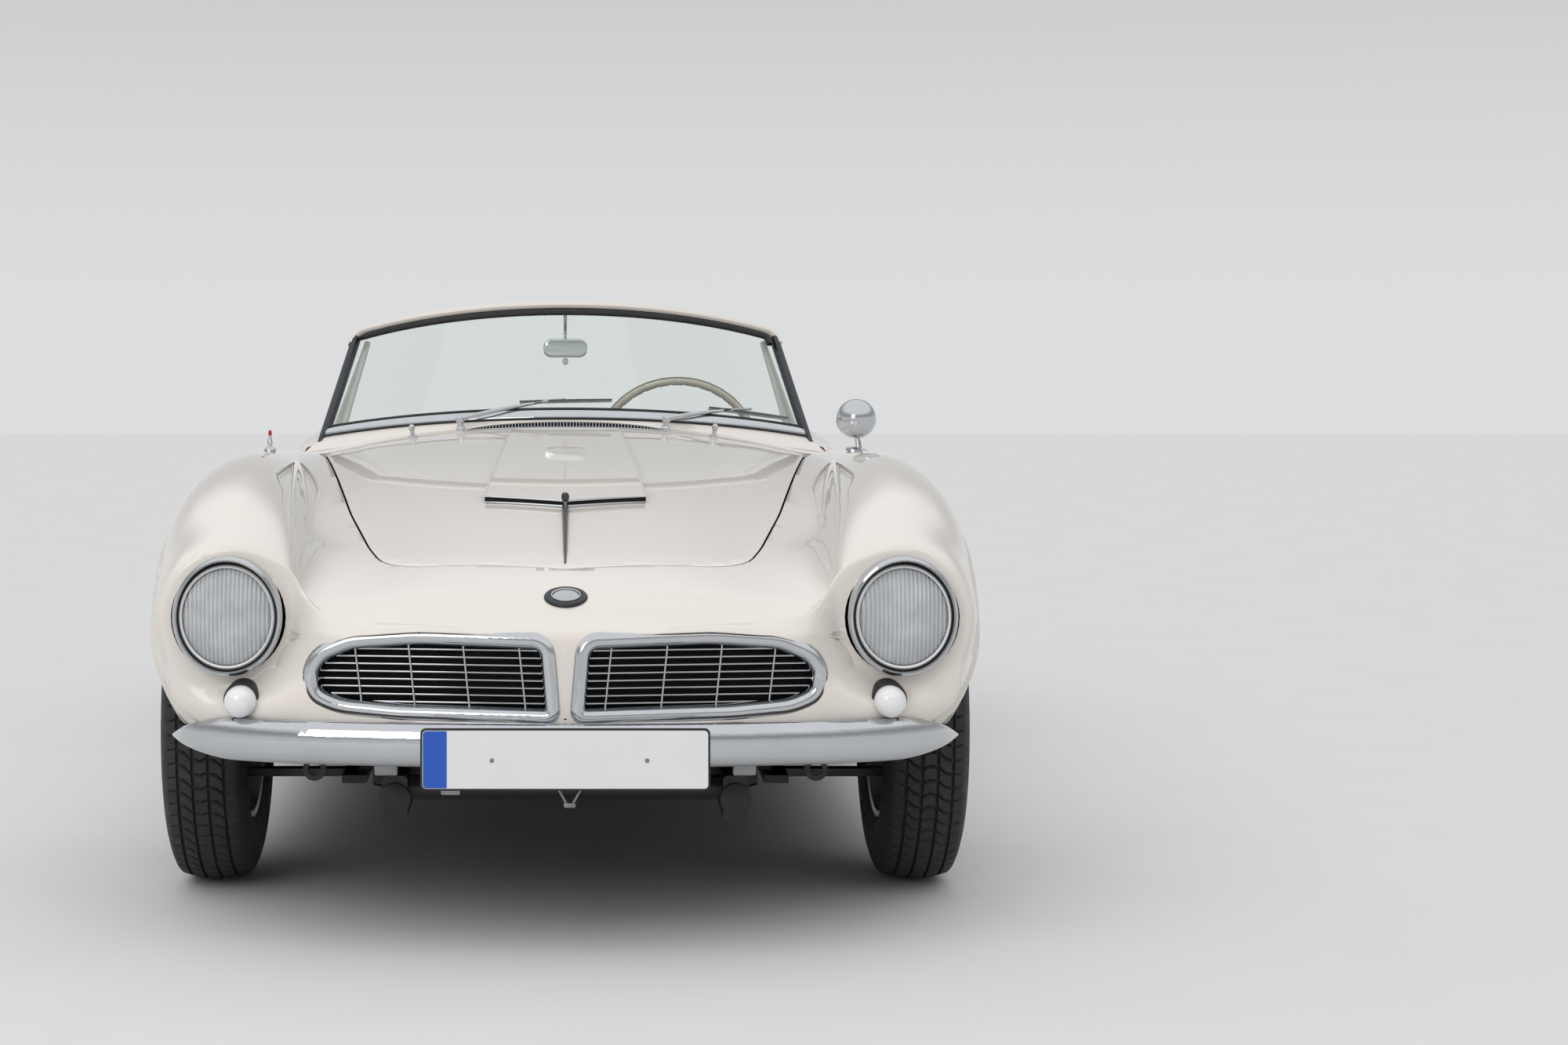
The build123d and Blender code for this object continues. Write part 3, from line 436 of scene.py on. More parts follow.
# Near-black matt sheet: painted shade behind the grille, the side vents, the scoop mouth and the cowl intake, and the
# matt black of the wing liners.
BLACK_AND_PAINTED_SHADE = surface("matt_black_and_painted_shade", "#0A0A0B", "#0E0E0F", 80, (0.85, 0.95), 5, 0.05)
WHEEL_SILVER = surface("wheel_lacquer", "#B9BABB", "#AFB0B2", 60, (0.28, 0.36), 2, 0.05, metallic=0.85)
CAST_IRON = surface("cast_iron", "#4A4948", "#3B3937", 12, (0.55, 0.75), 1.5, 0.35, metallic=0.7)
BARE_STEEL = surface("turned_steel", "#9A9B9D", "#838588", 25, (0.25, 0.42), 1, 0.1, metallic=1.0)
CAST_ALLOY = surface("sand_cast_alloy", "#A9AAAB", "#969798", 14, (0.42, 0.6), 1.2, 0.25, metallic=1.0)
# Cast resin rim of the hand wheel: creamy, faintly cloudy and glossy.
IVORY_RESIN = surface("ivory_resin", "#E2DACA", "#D8CEBB", 40, (0.18, 0.28), 3, 0.03, Coat_Weight=0.5)
MILK_GLASS = surface("milk_glass", "#E9E8E8", "#DEDDDF", 20, (0.1, 0.16), 6, 0.02, Coat_Weight=1.0)
PLATE_WHITE = surface("plate_white", "#E0E0DF", "#D9D9D9", 60, (0.3, 0.4), 1, 0.03)
PLATE_BLUE = surface("plate_blue", "#1C56B8", "#1A50AE", 30, (0.3, 0.4), 1, 0.03)
RED_BEAD = surface("red_bead", "#B3161B", "#9C1216", 4, (0.15, 0.2), 1, 0.02)
MIRROR_BOWL = surface("silvered_bowl", "#D8DADC", "#CBCED2", 30, (0.03, 0.1), 8, 0.1, metallic=1.0)
DIAL_BLACK = surface("dial_enamel", "#17181A", "#1F2022", 20, (0.35, 0.45), 0.6, 0.03)
LEATHER = stitched_leather("red_hide", "#6B211C", "#7D2E26")
DARK_LEATHER = stitched_leather("dark_hide", "#2A2322", "#352B29")
LAMP_GLASS = fluted_glass()
SCREEN_GLASS = sheet_glass()
RUBY = red_lens()
CARPET = looped_carpet()

# The finish that each material stands for outside this file.
SLOTS = {
    "body_paint": (LACQUER,),
    "chrome": (CHROME, DARKENED_CHROME, MIRROR_BOWL),
    "black_paint": (RUBBER, BLACK_ENAMEL, BLACK_AND_PAINTED_SHADE, DIAL_BLACK),
    "grille_metal": (BRIGHT_STRIP,),
    "steel": (BARE_STEEL,),
    "iron": (CAST_IRON,),
    "aluminium": (CAST_ALLOY,),
    "seat_leather": (LEATHER, DARK_LEATHER),
    "ivory_plastic": (IVORY_RESIN,),
    "plate_white": (PLATE_WHITE, PLATE_BLUE),
    "red_lens": (RUBY, RED_BEAD),
    "lamp_glass": (MILK_GLASS,),
    "clear_glass": (LAMP_GLASS, SCREEN_GLASS),
    "tyre": (TYRE_RUBBER,),
    "wheel_metal": (WHEEL_SILVER,),
}
SLOT_OF = {material.name: slot for slot, materials in SLOTS.items() for material in materials}


# ---------------- body skin
Section = namedtuple(
    "Section",
    "run crown_z valley_x valley_z peak_x peak_z shoulder_x shoulder_z "
    "widest_x widest_z flank_x flank_z sill_x sill_z",
)
# Right half of the skin in millimetres, from the centre line over the bonnet valley and the wing's peak to the sill.
SECTIONS = [
    Section(60, 580, 120, 578, 180, 574, 235, 556, 255, 500, 245, 430, 225, 404),
    Section(95, 600, 250, 596, 370, 590, 450, 562, 480, 500, 462, 424, 425, 396),
    Section(150, 627, 400, 610, 490, 603, 585, 570, 625, 500, 610, 420, 560, 388),
    Section(190, 643, 455, 622, 590, 700, 690, 660, 728, 560, 712, 430, 630, 385),
    Section(220, 655, 470, 634, 612, 724, 712, 680, 748, 560, 732, 440, 650, 384),
    Section(350, 688, 485, 662, 628, 796, 752, 730, 785, 600, 775, 470, 700, 384),
    Section(560, 730, 505, 700, 640, 848, 778, 785, 812, 640, 806, 480, 780, 350),
    Section(950, 800, 535, 764, 652, 882, 780, 822, 822, 650, 818, 450, 785, 230),
    Section(1400, 868, 575, 826, 672, 873, 768, 825, 812, 650, 802, 430, 770, 212),
    Section(1740, 913, 618, 852, 690, 860, 764, 814, 804, 640, 795, 420, 766, 208),
    Section(2050, 935, 640, 846, 697, 848, 760, 806, 798, 630, 790, 415, 764, 206),
    Section(2480, 900, 640, 836, 695, 837, 760, 797, 797, 622, 790, 412, 765, 206),
    Section(2890, 868, 630, 850, 690, 856, 772, 812, 812, 640, 804, 430, 776, 210),
    Section(3290, 866, 600, 858, 668, 884, 776, 824, 825, 650, 820, 450, 800, 230),
    Section(3700, 828, 540, 818, 640, 846, 748, 790, 802, 630, 792, 470, 745, 300),
    Section(4020, 760, 480, 748, 595, 772, 700, 722, 752, 590, 738, 470, 680, 330),
    Section(4200, 690, 430, 678, 545, 694, 640, 655, 688, 560, 655, 465, 580, 350),
    Section(4285, 600, 380, 594, 480, 600, 565, 575, 598, 520, 565, 455, 505, 375),
]
LIP = 22  # the sill's edge turns in by this much, in millimetres


def arc_points(a, middle, b, shares):
    """Points at shares of the way round the arc from a to b through a middle point."""
    (ax, az), (mx, mz), (bx, bz) = a, middle, b
    d = 2 * (ax * (mz - bz) + mx * (bz - az) + bx * (az - mz))
    if abs(d) < 1e-6:
        return [(ax + (bx - ax) * s, az + (bz - az) * s) for s in shares]
    a2, m2, b2 = ax * ax + az * az, mx * mx + mz * mz, bx * bx + bz * bz
    cx = (a2 * (mz - bz) + m2 * (bz - az) + b2 * (az - mz)) / d
    cz = (a2 * (bx - mx) + m2 * (ax - bx) + b2 * (mx - ax)) / d
    radius = hypot(ax - cx, az - cz)
    start = atan2(az - cz, ax - cx)
    turn = (atan2(bz - cz, bx - cx) - start + pi) % (2 * pi) - pi
    return [(cx + radius * cos(start + turn * s), cz + radius * sin(start + turn * s)) for s in shares]


def half_section(s):
    """The right half of a section from the crown to the turned-in sill, as (x, z) in millimetres."""
    crown, valley = (0, s.crown_z), (s.valley_x, s.valley_z)
    shoulder, flank = (s.shoulder_x, s.shoulder_z), (s.flank_x, s.flank_z)
    over = arc_points((-s.valley_x, s.valley_z), crown, valley, [0.5, 0.75])
    wing = arc_points(valley, (s.peak_x, s.peak_z), shoulder, [0, 0.25, 0.5, 0.75])
    side = arc_points(shoulder, (s.widest_x, s.widest_z), flank, [0, 0.33, 0.67, 1])
    return over + wing + side + [(s.sill_x, s.sill_z), (s.sill_x - LIP, s.sill_z + 2)]


HALF = len(half_section(SECTIONS[0])) - 1  # points from the crown out to the lip
TOP = 6  # of those, the ones that lie over the top as far as the shoulder


def bridge(bm, one, other):
    """Joins two open rows of vertices with a strip of quads."""
    edges = []
    for row in (one, other):
        for a, b in zip(row, row[1:]):
            edges.append(bm.edges.get((a, b)) or bm.edges.new((a, b)))
    bmesh.ops.bridge_loops(bm, edges=edges)


def end_rows(bm, ring, bulge):
    """Rows of vertices that close a blunt end under its top edge, bulging along Y."""
    rows = []
    for k in range(TOP + 1, HALF + 1):
        left, right = ring[HALF - k], ring[HALF + k]
        row = [left]
        for i in range(1, 2 * TOP):
            share = i / (2 * TOP)
            middle = left.co.lerp(right.co, share)
            middle.y += bulge * sin(pi * share)
            row.append(bm.verts.new(middle))
        rows.append(row + [right])
    return rows


def body_cage():
    bm = bmesh.new()
    rings = []
    for s in SECTIONS:
        half = half_section(s)
        points = [(-x, z) for x, z in reversed(half[1:])] + half
        rings.append([bm.verts.new((x * MM, at(s.run * MM), z * MM)) for x, z in points])
    for one, other in zip(rings, rings[1:]):
        bridge(bm, one, other)
    for ring, bulge in ((rings[0], -0.005), (rings[-1], 0.01)):
        above = ring[HALF - TOP : HALF + TOP + 1]
        for row in end_rows(bm, ring, bulge):
            bridge(bm, above, row)
            above = row
    return face_out(bm)


CAGE_ROUNDS = 8
SKIN_LEVELS = 3


def smooth_skin():
    """The whole skin: the cage is pushed out until its smooth surface runs through the sections' points."""
    piece = finish_mesh(body_cage(), "skin", LACQUER)
    targets = [v.co.copy() for v in piece.data.vertices]
    modify(piece, "SUBSURF", levels=SKIN_LEVELS, render_levels=SKIN_LEVELS)
    for _ in range(CAGE_ROUNDS):
        bpy.context.view_layer.update()
        graph = bpy.context.evaluated_depsgraph_get()
        smooth = piece.evaluated_get(graph).data
        for vertex, target, reached in zip(piece.data.vertices, targets, smooth.vertices):
            vertex.co += (target - reached.co) * 0.9
        piece.data.update()
    bpy.context.view_layer.update()
    apply_modifiers(piece)
    return piece


# ---------------- outlines that the skin is cut along
TOP_VIEW = (0, 1)
SIDE_VIEW = (1, 2)
FRONT_VIEW = (0, 2)


def rounded(corners, steps=6):
    """A closed outline from (a, b, radius) corners."""
    outline = []
    count = len(corners)
    for i, (a, b, radius) in enumerate(corners):
        here = Vector((a, b))
        before = Vector(corners[i - 1][:2]) - here
        after = Vector(corners[(i + 1) % count][:2]) - here
        if not radius:
            outline.append(here)
            continue
        half = before.angle(after) / 2
        reach = radius / tan(half)
        start, end = here + before.normalized() * reach, here + after.normalized() * reach
        centre = here + (before.normalized() + after.normalized()).normalized() * radius / sin(half)
        first, last = start - centre, end - centre
        angle = atan2(first.y, first.x)
        turn = (atan2(last.y, last.x) - angle + pi) % tau - pi
        for j in range(steps + 1):
            spoke = angle + turn * j / steps
            outline.append(centre + radius * Vector((cos(spoke), sin(spoke))))
    return outline


def grown(outline, amount):
    """The same outline moved outwards by an amount."""
    area = sum(a.x * b.y - b.x * a.y for a, b in zip(outline, outline[1:] + outline[:1]))
    turn = 1 if area > 0 else -1
    result = []
    for i, here in enumerate(outline):
        before = (here - outline[i - 1]).normalized()
        after = (outline[(i + 1) % len(outline)] - here).normalized()
        normals = [Vector((d.y, -d.x)) * turn for d in (before, after)]
        middle = (normals[0] + normals[1]).normalized()
        result.append(here + middle * amount / max(0.3, middle.dot(normals[0])))
    return result


def inside(outline, point):
    hit = False
    for a, b in zip(outline, outline[1:] + outline[:1]):
        if (a.y > point.y) != (b.y > point.y) and point.x < a.x + (point.y - a.y) * (b.x - a.x) / (b.y - a.y):
            hit = not hit
    return hit


def flat(co, view):
    return Vector((co[view[0]], co[view[1]]))


def faces_near(bm, outline, view, where):
    low = Vector((min(p.x for p in outline), min(p.y for p in outline)))
    high = Vector((max(p.x for p in outline), max(p.y for p in outline)))
    found = []
    for face in bm.faces:
        if not where(face.calc_center_median(), face.normal):
            continue
        spots = [flat(v.co, view) for v in face.verts]
        if max(p.x for p in spots) < low.x or min(p.x for p in spots) > high.x:
            continue
        if max(p.y for p in spots) < low.y or min(p.y for p in spots) > high.y:
            continue
        found.append(face)
    return found


def cut_outline(bm, outline, view, where):
    """Splits the skin's faces along an outline drawn in a flat view; returns the faces inside it."""
    near = faces_near(bm, outline, view, where)
    for a, b in zip(outline, outline[1:] + outline[:1]):
        along = (b - a).normalized()
        across = Vector((-along.y, along.x))
        crossed = []
        for face in near:
            spots = [flat(v.co, view) - a for v in face.verts]
            offs = [p.dot(across) for p in spots]
            runs = [p.dot(along) for p in spots]
            if min(offs) < -1e-6 and max(offs) > 1e-6 and min(runs) < (b - a).length and max(runs) > 0:
                crossed.append(face)
        if not crossed:
            continue
        normal, origin = Vector(), Vector()
        for i, axis in enumerate(view):
            normal[axis], origin[axis] = across[i], a[i]
        edges = {e for f in crossed for e in f.edges}
        verts = {v for f in crossed for v in f.verts}
        result = bmesh.ops.bisect_plane(
            bm, geom=crossed + list(edges) + list(verts), dist=1e-6, plane_co=origin, plane_no=normal
        )
        made = [g for g in result["geom"] if isinstance(g, bmesh.types.BMFace)]
        near = list({f for f in near if f.is_valid} | set(made))
    return [f for f in near if f.is_valid and inside(outline, flat(f.calc_center_median(), view))]


def take_out(bm, faces):
    bmesh.ops.delete(bm, geom=faces, context="FACES")


def lift_off(bm, faces):
    """Moves faces out of a bmesh into a new one."""
    bm.faces.index_update()
    wanted = {f.index for f in faces}
    panel = bm.copy()
    panel.faces.index_update()
    bmesh.ops.delete(panel, geom=[f for f in panel.faces if f.index not in wanted], context="FACES")
    take_out(bm, faces)
    return panel


def cut_panel(bm, outline, view, where):
    """Cuts a panel and its shut gap out of the skin."""
    cut_outline(bm, grown(outline, SHUT_GAP), view, where)
    cut_outline(bm, outline, view, where)
    near = faces_near(bm, grown(outline, SHUT_GAP), view, where)
    held = [f for f in near if inside(outline, flat(f.calc_center_median(), view))]
    panel = lift_off(bm, held)
    rest = faces_near(bm, grown(outline, SHUT_GAP), view, where)
    ring = [f for f in rest if inside(grown(outline, SHUT_GAP), flat(f.calc_center_median(), view))]
    take_out(bm, ring)
    return panel


def everything_in(bm):
    return bm.verts[:] + bm.edges[:] + bm.faces[:]


def mirrored(bm):
    """Adds the other half of a piece that is symmetric about the centre plane."""
    bmesh.ops.mirror(bm, geom=everything_in(bm), axis="X", merge_dist=1e-5)
    return face_out(bm)


def other_side(bm):
    """A copy of a piece on the other side of the car."""
    copy = bm.copy()
    bmesh.ops.scale(copy, vec=(-1, 1, 1), verts=copy.verts)
    bmesh.ops.reverse_faces(copy, faces=copy.faces)
    return copy


def everything(centre, normal):
    return True


def on_top(centre, normal):
    return normal.z > 0.25 and centre.z > 0.5


def on_side(centre, normal):
    return centre.x > 0.5


NOSE_BACK = at(0.33)


def on_nose(centre, normal):
    return centre.y < NOSE_BACK and normal.y < -0.05


def plan(corners):
    """An outline seen from above, from (x, run, radius) corners."""
    return rounded([(x, at(run), radius) for x, run, radius in corners])


def elevation(corners):
    """An outline seen from the side, from (run, z, radius) corners."""
    return rounded([(at(run), z, radius) for run, z, radius in corners])


def round_outline(a, b, radius, steps=40):
    return [
        Vector((a + radius * cos(tau * i / steps), b + radius * sin(tau * i / steps)))
        for i in range(steps)
    ]


BONNET = mm(
    (-50, 316, 0), (345, 388, 150), (392, 560, 1000), (453, 870, 3000), (583, 1722, 60), (-50, 1722, 0)
)
SCOOP_HALF = 0.172
SCOOP_SWEEP = 0.05  # how far its front edge is drawn forward at the middle
SCOOP = [(-0.05, 0.7855, 0), (SCOOP_HALF, 0.85, 0.008), (0.133, 1.69, 0.012), (-0.05, 1.69, 0)]
SCOOP_RUN = (0.8, 1.69)
SCOOP_RISE = (0.014, 0.01)
BOOT_LID = mm((-50, 3262, 0), (495, 3262, 60), (500, 3350, 0), (460, 3955, 90), (340, 4050, 90), (-50, 4050, 0))
COCKPIT_SIDE = 0.655
COCKPIT_FRONT = 1.992
COCKPIT_BACK = 3.165
COCKPIT_MIDDLE = 2.578
COCKPIT = [(-0.05, COCKPIT_FRONT, 0), (COCKPIT_SIDE, COCKPIT_FRONT, 0.17)]
COCKPIT += [(COCKPIT_SIDE, COCKPIT_BACK, 0.17), (-0.05, COCKPIT_BACK, 0)]
DOOR = [(DOOR_FRONT, DOOR_SILL_Z, 0.06), (DOOR_REAR, DOOR_SILL_Z, 0.06), (DOOR_REAR, 1.3, 0), (DOOR_FRONT, 1.3, 0)]
VENT = mm((1395, 556, 12), (1795, 556, 12), (1795, 640, 12), (1395, 640, 12))
HEADLAMP = Vector((0.632, 0.602))
HEADLAMP_Y = at(0.19)
FAIRING_R = 0.114
FAIRING_FADE = 0.075
LIP_RINGS = (0.04, 0.028)  # the arch lip steps out between these two distances from the arch
LIP_PROUD = 0.012
LIP_RETURN = 0.022
WIDEST = 0.8232


def ease(share):
    share = min(1.0, max(0.0, share))
    return share * share * (3 - 2 * share)


VALLEY_REACH = 0.15


def fair(weights, rounds, along=False):
    """Evens a patch of the skin out, each vertex by its own weight: over its neighbours, or only along the car."""
    near = {}
    for v in weights:
        ring = sorted((e.other_vert(v) for e in v.link_edges), key=lambda o: abs((o.co - v.co).normalized().y))
        if len(ring) == 4 or not along:
            near[v] = ring[2:] if along else ring
    for _ in range(rounds):
        moved = []
        for v, ring in near.items():
            if along:
                a, b = ring[0].co, ring[1].co
                goal = a.lerp(b, (v.co.y - a.y) / (b.y - a.y)) if abs(b.y - a.y) > 1e-4 else v.co
            else:
                goal = sum((o.co for o in ring), Vector()) / len(ring)
            moved.append((v, v.co.lerp(goal, 0.5 * weights[v])))
        for v, co in moved:
            v.co = co


def shape_details(bm):
    """Softens the valley by the bonnet, draws the arch lips out and gathers the nose into the lamp's fairing."""
    runs = [s.run * MM for s in SECTIONS]
    beside = {}
    for v in bm.verts:
        run = v.co.y + LENGTH / 2
        if 0.26 < run < 2.4 and v.co.z > 0.6:
            k = next(i for i, far in enumerate(runs) if far > run)
            share = (run - runs[k - 1]) / (runs[k] - runs[k - 1])
            off = abs(v.co.x - (SECTIONS[k - 1].valley_x * (1 - share) + SECTIONS[k].valley_x * share) * MM)
            weight = ease((VALLEY_REACH - off) / 0.09) * ease((run - 0.26) / 0.2) * ease((2.4 - run) / 0.4)
            if weight > 0.001:
                beside[v] = weight
    for _ in range(3):
        fair(beside, 14)
        fair(beside, 12, along=True)
    gathered = {}
    for v in bm.verts:
        v.co.x = min(WIDEST, v.co.x)
        for centre_y in (FRONT_Y, REAR_Y):
            off = hypot(v.co.y - centre_y, v.co.z - TYRE_R) - ARCH_R
            if v.co.x > 0.6 and -0.05 < off < LIP_RINGS[0]:
                share = ease((LIP_RINGS[0] - off) / (LIP_RINGS[0] - LIP_RINGS[1]))
                v.co.x = min(WIDEST, v.co.x + LIP_PROUD * share)
        reach = (flat(v.co, FRONT_VIEW) - HEADLAMP).length
        if v.co.y < at(0.6) and reach < FAIRING_R + FAIRING_FADE:
            share = ease(1 - (reach - FAIRING_R) / FAIRING_FADE)
            v.co.y += (HEADLAMP_Y - v.co.y) * ease(share)
        far = FAIRING_R + 2 * FAIRING_FADE
        if v.co.y < at(0.6) and FAIRING_R + 0.01 < reach < far and 0.05 < v.co.x < 0.72:
            gathered[v] = ease((reach - FAIRING_R - 0.01) / 0.04) * ease((far - reach) / 0.05)
    fair(gathered, 8)


def right_half(whole):
    bm = bmesh.new()
    bm.from_mesh(whole.data)
    bmesh.ops.bisect_plane(
        bm, geom=everything_in(bm), plane_co=(0, 0, 0), plane_no=(1, 0, 0), clear_inner=True
    )
    return bm


def split_at(bm, y):
    """Takes the part behind a plane across the car out of a bmesh."""
    bmesh.ops.bisect_plane(bm, geom=everything_in(bm), plane_co=(0, y, 0), plane_no=(0, 1, 0))
    return lift_off(bm, [f for f in bm.faces if f.calc_center_median().y > y])


SKIN_THICK = 0.003


def panel(bm, name, body, *nodes):
    """Finishes a cut piece of skin: a wall turned inwards and an eased edge."""
    piece = finish_mesh(bm, name, LACQUER)
    modify(piece, "SOLIDIFY", thickness=SKIN_THICK, offset=-1)
    modify(piece, "BEVEL", width=0.0008, segments=2, limit_method="ANGLE", angle_limit=radians(60))
    return carry(piece, body, "body_paint", *nodes)


def turn_arch_edge(bm, centre_y):
    """Turns the cut edge of a wheel arch inwards."""

    def on_arch(v):
        return v.co.x > 0.5 and abs(hypot(v.co.y - centre_y, v.co.z - TYRE_R) - ARCH_R) < 0.003

    rim = [e for e in bm.edges if e.is_boundary and all(on_arch(v) for v in e.verts)]
    made = bmesh.ops.extrude_edge_only(bm, edges=rim)
    bmesh.ops.translate(bm, vec=(-LIP_RETURN, 0, 0), verts=new_verts(made))


def raise_scoop(bm):
    """Lifts the air scoop out of the bonnet, higher at its front."""
    made = bmesh.ops.extrude_face_region(bm, geom=cut_outline(bm, plan(SCOOP), TOP_VIEW, everything))
    for v in new_verts(made):
        share = (v.co.y - at(SCOOP_RUN[0])) / (SCOOP_RUN[1] - SCOOP_RUN[0])
        v.co.z += SCOOP_RISE[0] + (SCOOP_RISE[1] - SCOOP_RISE[0]) * share
    walls = [f for f in bm.faces if all(abs(v.co.x) < 1e-5 for v in f.verts)]
    take_out(bm, walls)


# A grille drawn flat about its middle: (outwards, up, corner radius).
GRILLE_EDGE = mm(
    (-243, -82, 26), (60, -77, 600), (180, -67, 160), (230, -41, 44), (239, 12, 60), (216, 53, 70), (150, 80, 140),
    (20, 90, 500), (-230, 83, 44),
)
GRILLE_YAW = radians(7)
GRILLE_MIDDLE = Vector((0.249, at(0.086), 0.5))


def grille_opening():
    edge = grown(rounded(GRILLE_EDGE, steps=10), -0.0025)
    return [Vector((GRILLE_MIDDLE.x + p.x * cos(GRILLE_YAW), GRILLE_MIDDLE.z + p.y)) for p in edge]


def cut_skin():
    whole = smooth_skin()
    half = right_half(whole)
    bpy.data.objects.remove(whole)
    for centre_y in (FRONT_Y, REAR_Y):
        for reach in LIP_RINGS:
            cut_outline(half, round_outline(centre_y, TYRE_R, ARCH_R + reach, 64), SIDE_VIEW, on_side)
    shape_details(half)
    tree = BVHTree.FromBMesh(half)
    bonnet = cut_panel(half, plan(BONNET), TOP_VIEW, on_top)
    raise_scoop(bonnet)
    boot_lid = cut_panel(half, plan(BOOT_LID), TOP_VIEW, on_top)
    take_out(half, cut_outline(half, plan(COCKPIT), TOP_VIEW, on_top))
    door = cut_panel(half, elevation(DOOR), SIDE_VIEW, on_side)
    for centre_y in (FRONT_Y, REAR_Y):
        arch = round_outline(centre_y, TYRE_R, ARCH_R, 64)
        take_out(half, cut_outline(half, arch, SIDE_VIEW, on_side))
        turn_arch_edge(half, centre_y)
    lamp = round_outline(HEADLAMP.x, HEADLAMP.y, FAIRING_R - 0.006)
    take_out(half, cut_outline(half, lamp, FRONT_VIEW, on_nose))
    opening = grille_opening()
    take_out(half, cut_outline(half, opening, FRONT_VIEW, on_nose))
    middles = {f: f.calc_center_median() for f in half.faces}
    scraps = [f for f, m in middles.items() if m.y < NOSE_BACK and inside(opening, flat(m, FRONT_VIEW))]
    take_out(half, scraps)
    take_out(half, cut_outline(half, elevation(VENT), SIDE_VIEW, on_side))
    behind = split_at(half, at(DOOR_FRONT) + SHUT_GAP / 2)
    tail = split_at(behind, at(DOOR_REAR) - SHUT_GAP / 2)
    panel(mirrored(half), "front_skin", "car_body", "front_body")
    panel(mirrored(behind), "sill_skin", "car_body", "sills")
    panel(mirrored(tail), "tail_skin", "car_body", "tail_body")
    panel(mirrored(bonnet), "bonnet_skin", "bonnet_panel", "bonnet")
    panel(mirrored(boot_lid), "boot_lid_skin", "boot_panel", "boot_lid")
    panel(other_side(door), "door_right_skin", "right_door", "door_right")
    panel(door, "door_left_skin", "left_door", "door_left")
    return tree


SKIN_TREE = cut_skin()
OFF_SEAM = 0.001  # rays keep this far from the skin's edge on the centre plane


def on_flank(y, z):
    """The point of the left flank at a height."""
    return SKIN_TREE.ray_cast(Vector((2, y, z)), Vector((-1, 0, 0)))[0]


def on_skin(x, run):
    """The point of the skin over a plan position, and its normal."""
    hit, normal, _, _ = SKIN_TREE.ray_cast(Vector((max(abs(x), OFF_SEAM), at(run), 2)), upward(-1))
    if x < 0:
        hit.x, normal.x = -hit.x, -normal.x
    return Vector((x, hit.y, hit.z)), normal


def on_nose_skin(x, z):
    """The point of the skin behind a place in the front view, and its normal."""
    hit, normal, _, _ = SKIN_TREE.ray_cast(Vector((max(abs(x), OFF_SEAM), at(-1), z)), Vector((0, 1, 0)))
    if x < 0:
        hit.x, normal.x = -hit.x, -normal.x
    return hit, normal


# ---------------- grilles
SURROUND_STEPS = mm((2, -30), (3, -2), (-1, 7), (-10, 13), (-20, 11), (-27, 3), (-29, -10), (-29, -34))
SLATS = 8
SLAT_DEPTH = 0.014
ROD_SPOTS = (-0.17, -0.066, 0.036, 0.136)
ROD_LEAN = 0.006  # a rod's top stands outward of its middle by this much


def grille_frame():
    """Carries a grille drawn flat, X outwards and Y up, to the left side of the nose."""
    outwards = Vector((cos(GRILLE_YAW), sin(GRILLE_YAW), 0))
    forward = Vector((sin(GRILLE_YAW), -cos(GRILLE_YAW), 0))
    turn = Matrix((outwards, upward(1), forward)).transposed().to_4x4()
    return Matrix.Translation(GRILLE_MIDDLE) @ turn


def span_at(outline, height):
    """Where a level line crosses an outline."""
    crossings = []
    for a, b in zip(outline, outline[1:] + outline[:1]):
        if (a.y > height) != (b.y > height):
            crossings.append(a.x + (height - a.y) * (b.x - a.x) / (b.y - a.y))
    return min(crossings), max(crossings)


def build_grilles():
    edge = rounded(GRILLE_EDGE, steps=10)
    place = grille_frame()
    rings = [[Vector((p.x, p.y, depth)) for p in grown(edge, out)] for out, depth in SURROUND_STEPS]
    surround = moved(loft(rings, capped=False), place)
    fit_out(both_sides(surround), "grille_surrounds_plated", CHROME, "grille_surrounds", sharp=60)
    window = grown(edge, -0.027)
    low, high = min(p.y for p in window), max(p.y for p in window)
    bars = bmesh.new()
    for i in range(SLATS):
        height = low + (high - low) * (i + 0.75) / (SLATS + 0.5)
        left, right = span_at(window, height)
        lower = (left - 0.003, height - 0.0016, -SLAT_DEPTH - 0.012)
        join(bars, slab(lower, (right + 0.003, height + 0.0016, -0.012), 0.0012, 2))
    for x in ROD_SPOTS:
        foot, top = span_at([p.yx for p in window], x)
        join(bars, rod_mesh([(x - ROD_LEAN, foot, -0.011), (x + ROD_LEAN, top, -0.011)], 0.002, smooth=False))
    fit_out(both_sides(moved(bars, place)), "grille_bars", BRIGHT_STRIP, "grille_slats")
    # A near-black plate behind the slats: painted shade for the dark inside of the nose.
    back = moved(plate_of(grown(edge, -0.012), 0.002), place @ slide(0, 0, -0.036))
    fit_out(both_sides(back), "grille_painted_shade", BLACK_AND_PAINTED_SHADE)


# ---------------- lamps
LAMP_FRONT = at(0.168)
# Half section of the headlamp rim: radius and distance forward.
RIM_SECTION = mm((107.5, -30), (108, -12), (107.5, 0), (105, 7), (101.5, 9), (98.5, 5), (97.5, -4))
SEAL_SECTION = mm((98.5, -2), (96.5, 1), (93.5, 0), (92.5, -10))
BEAD_SECTION = mm((94.5, -8), (93.8, 3), (91, 7), (88.2, 4), (87.5, -10))
LENS_SECTION = mm((88.5, -6), (84, 2), (70, 10), (48, 16), (24, 19.5), (0, 20.5))
BOWL_SECTION = mm((87.5, -6), (80, -22), (62, -42), (36, -55), (10, -60), (0, -60))
HOOD_RISE = 0.012
RIM_SLIM = 0.955


def headlamp_place():
    return facing((HEADLAMP.x, LAMP_FRONT, HEADLAMP.y + 0.003), (0.035, -1, 0.0)) @ Matrix.Diagonal((1, 1.037, 1, 1))


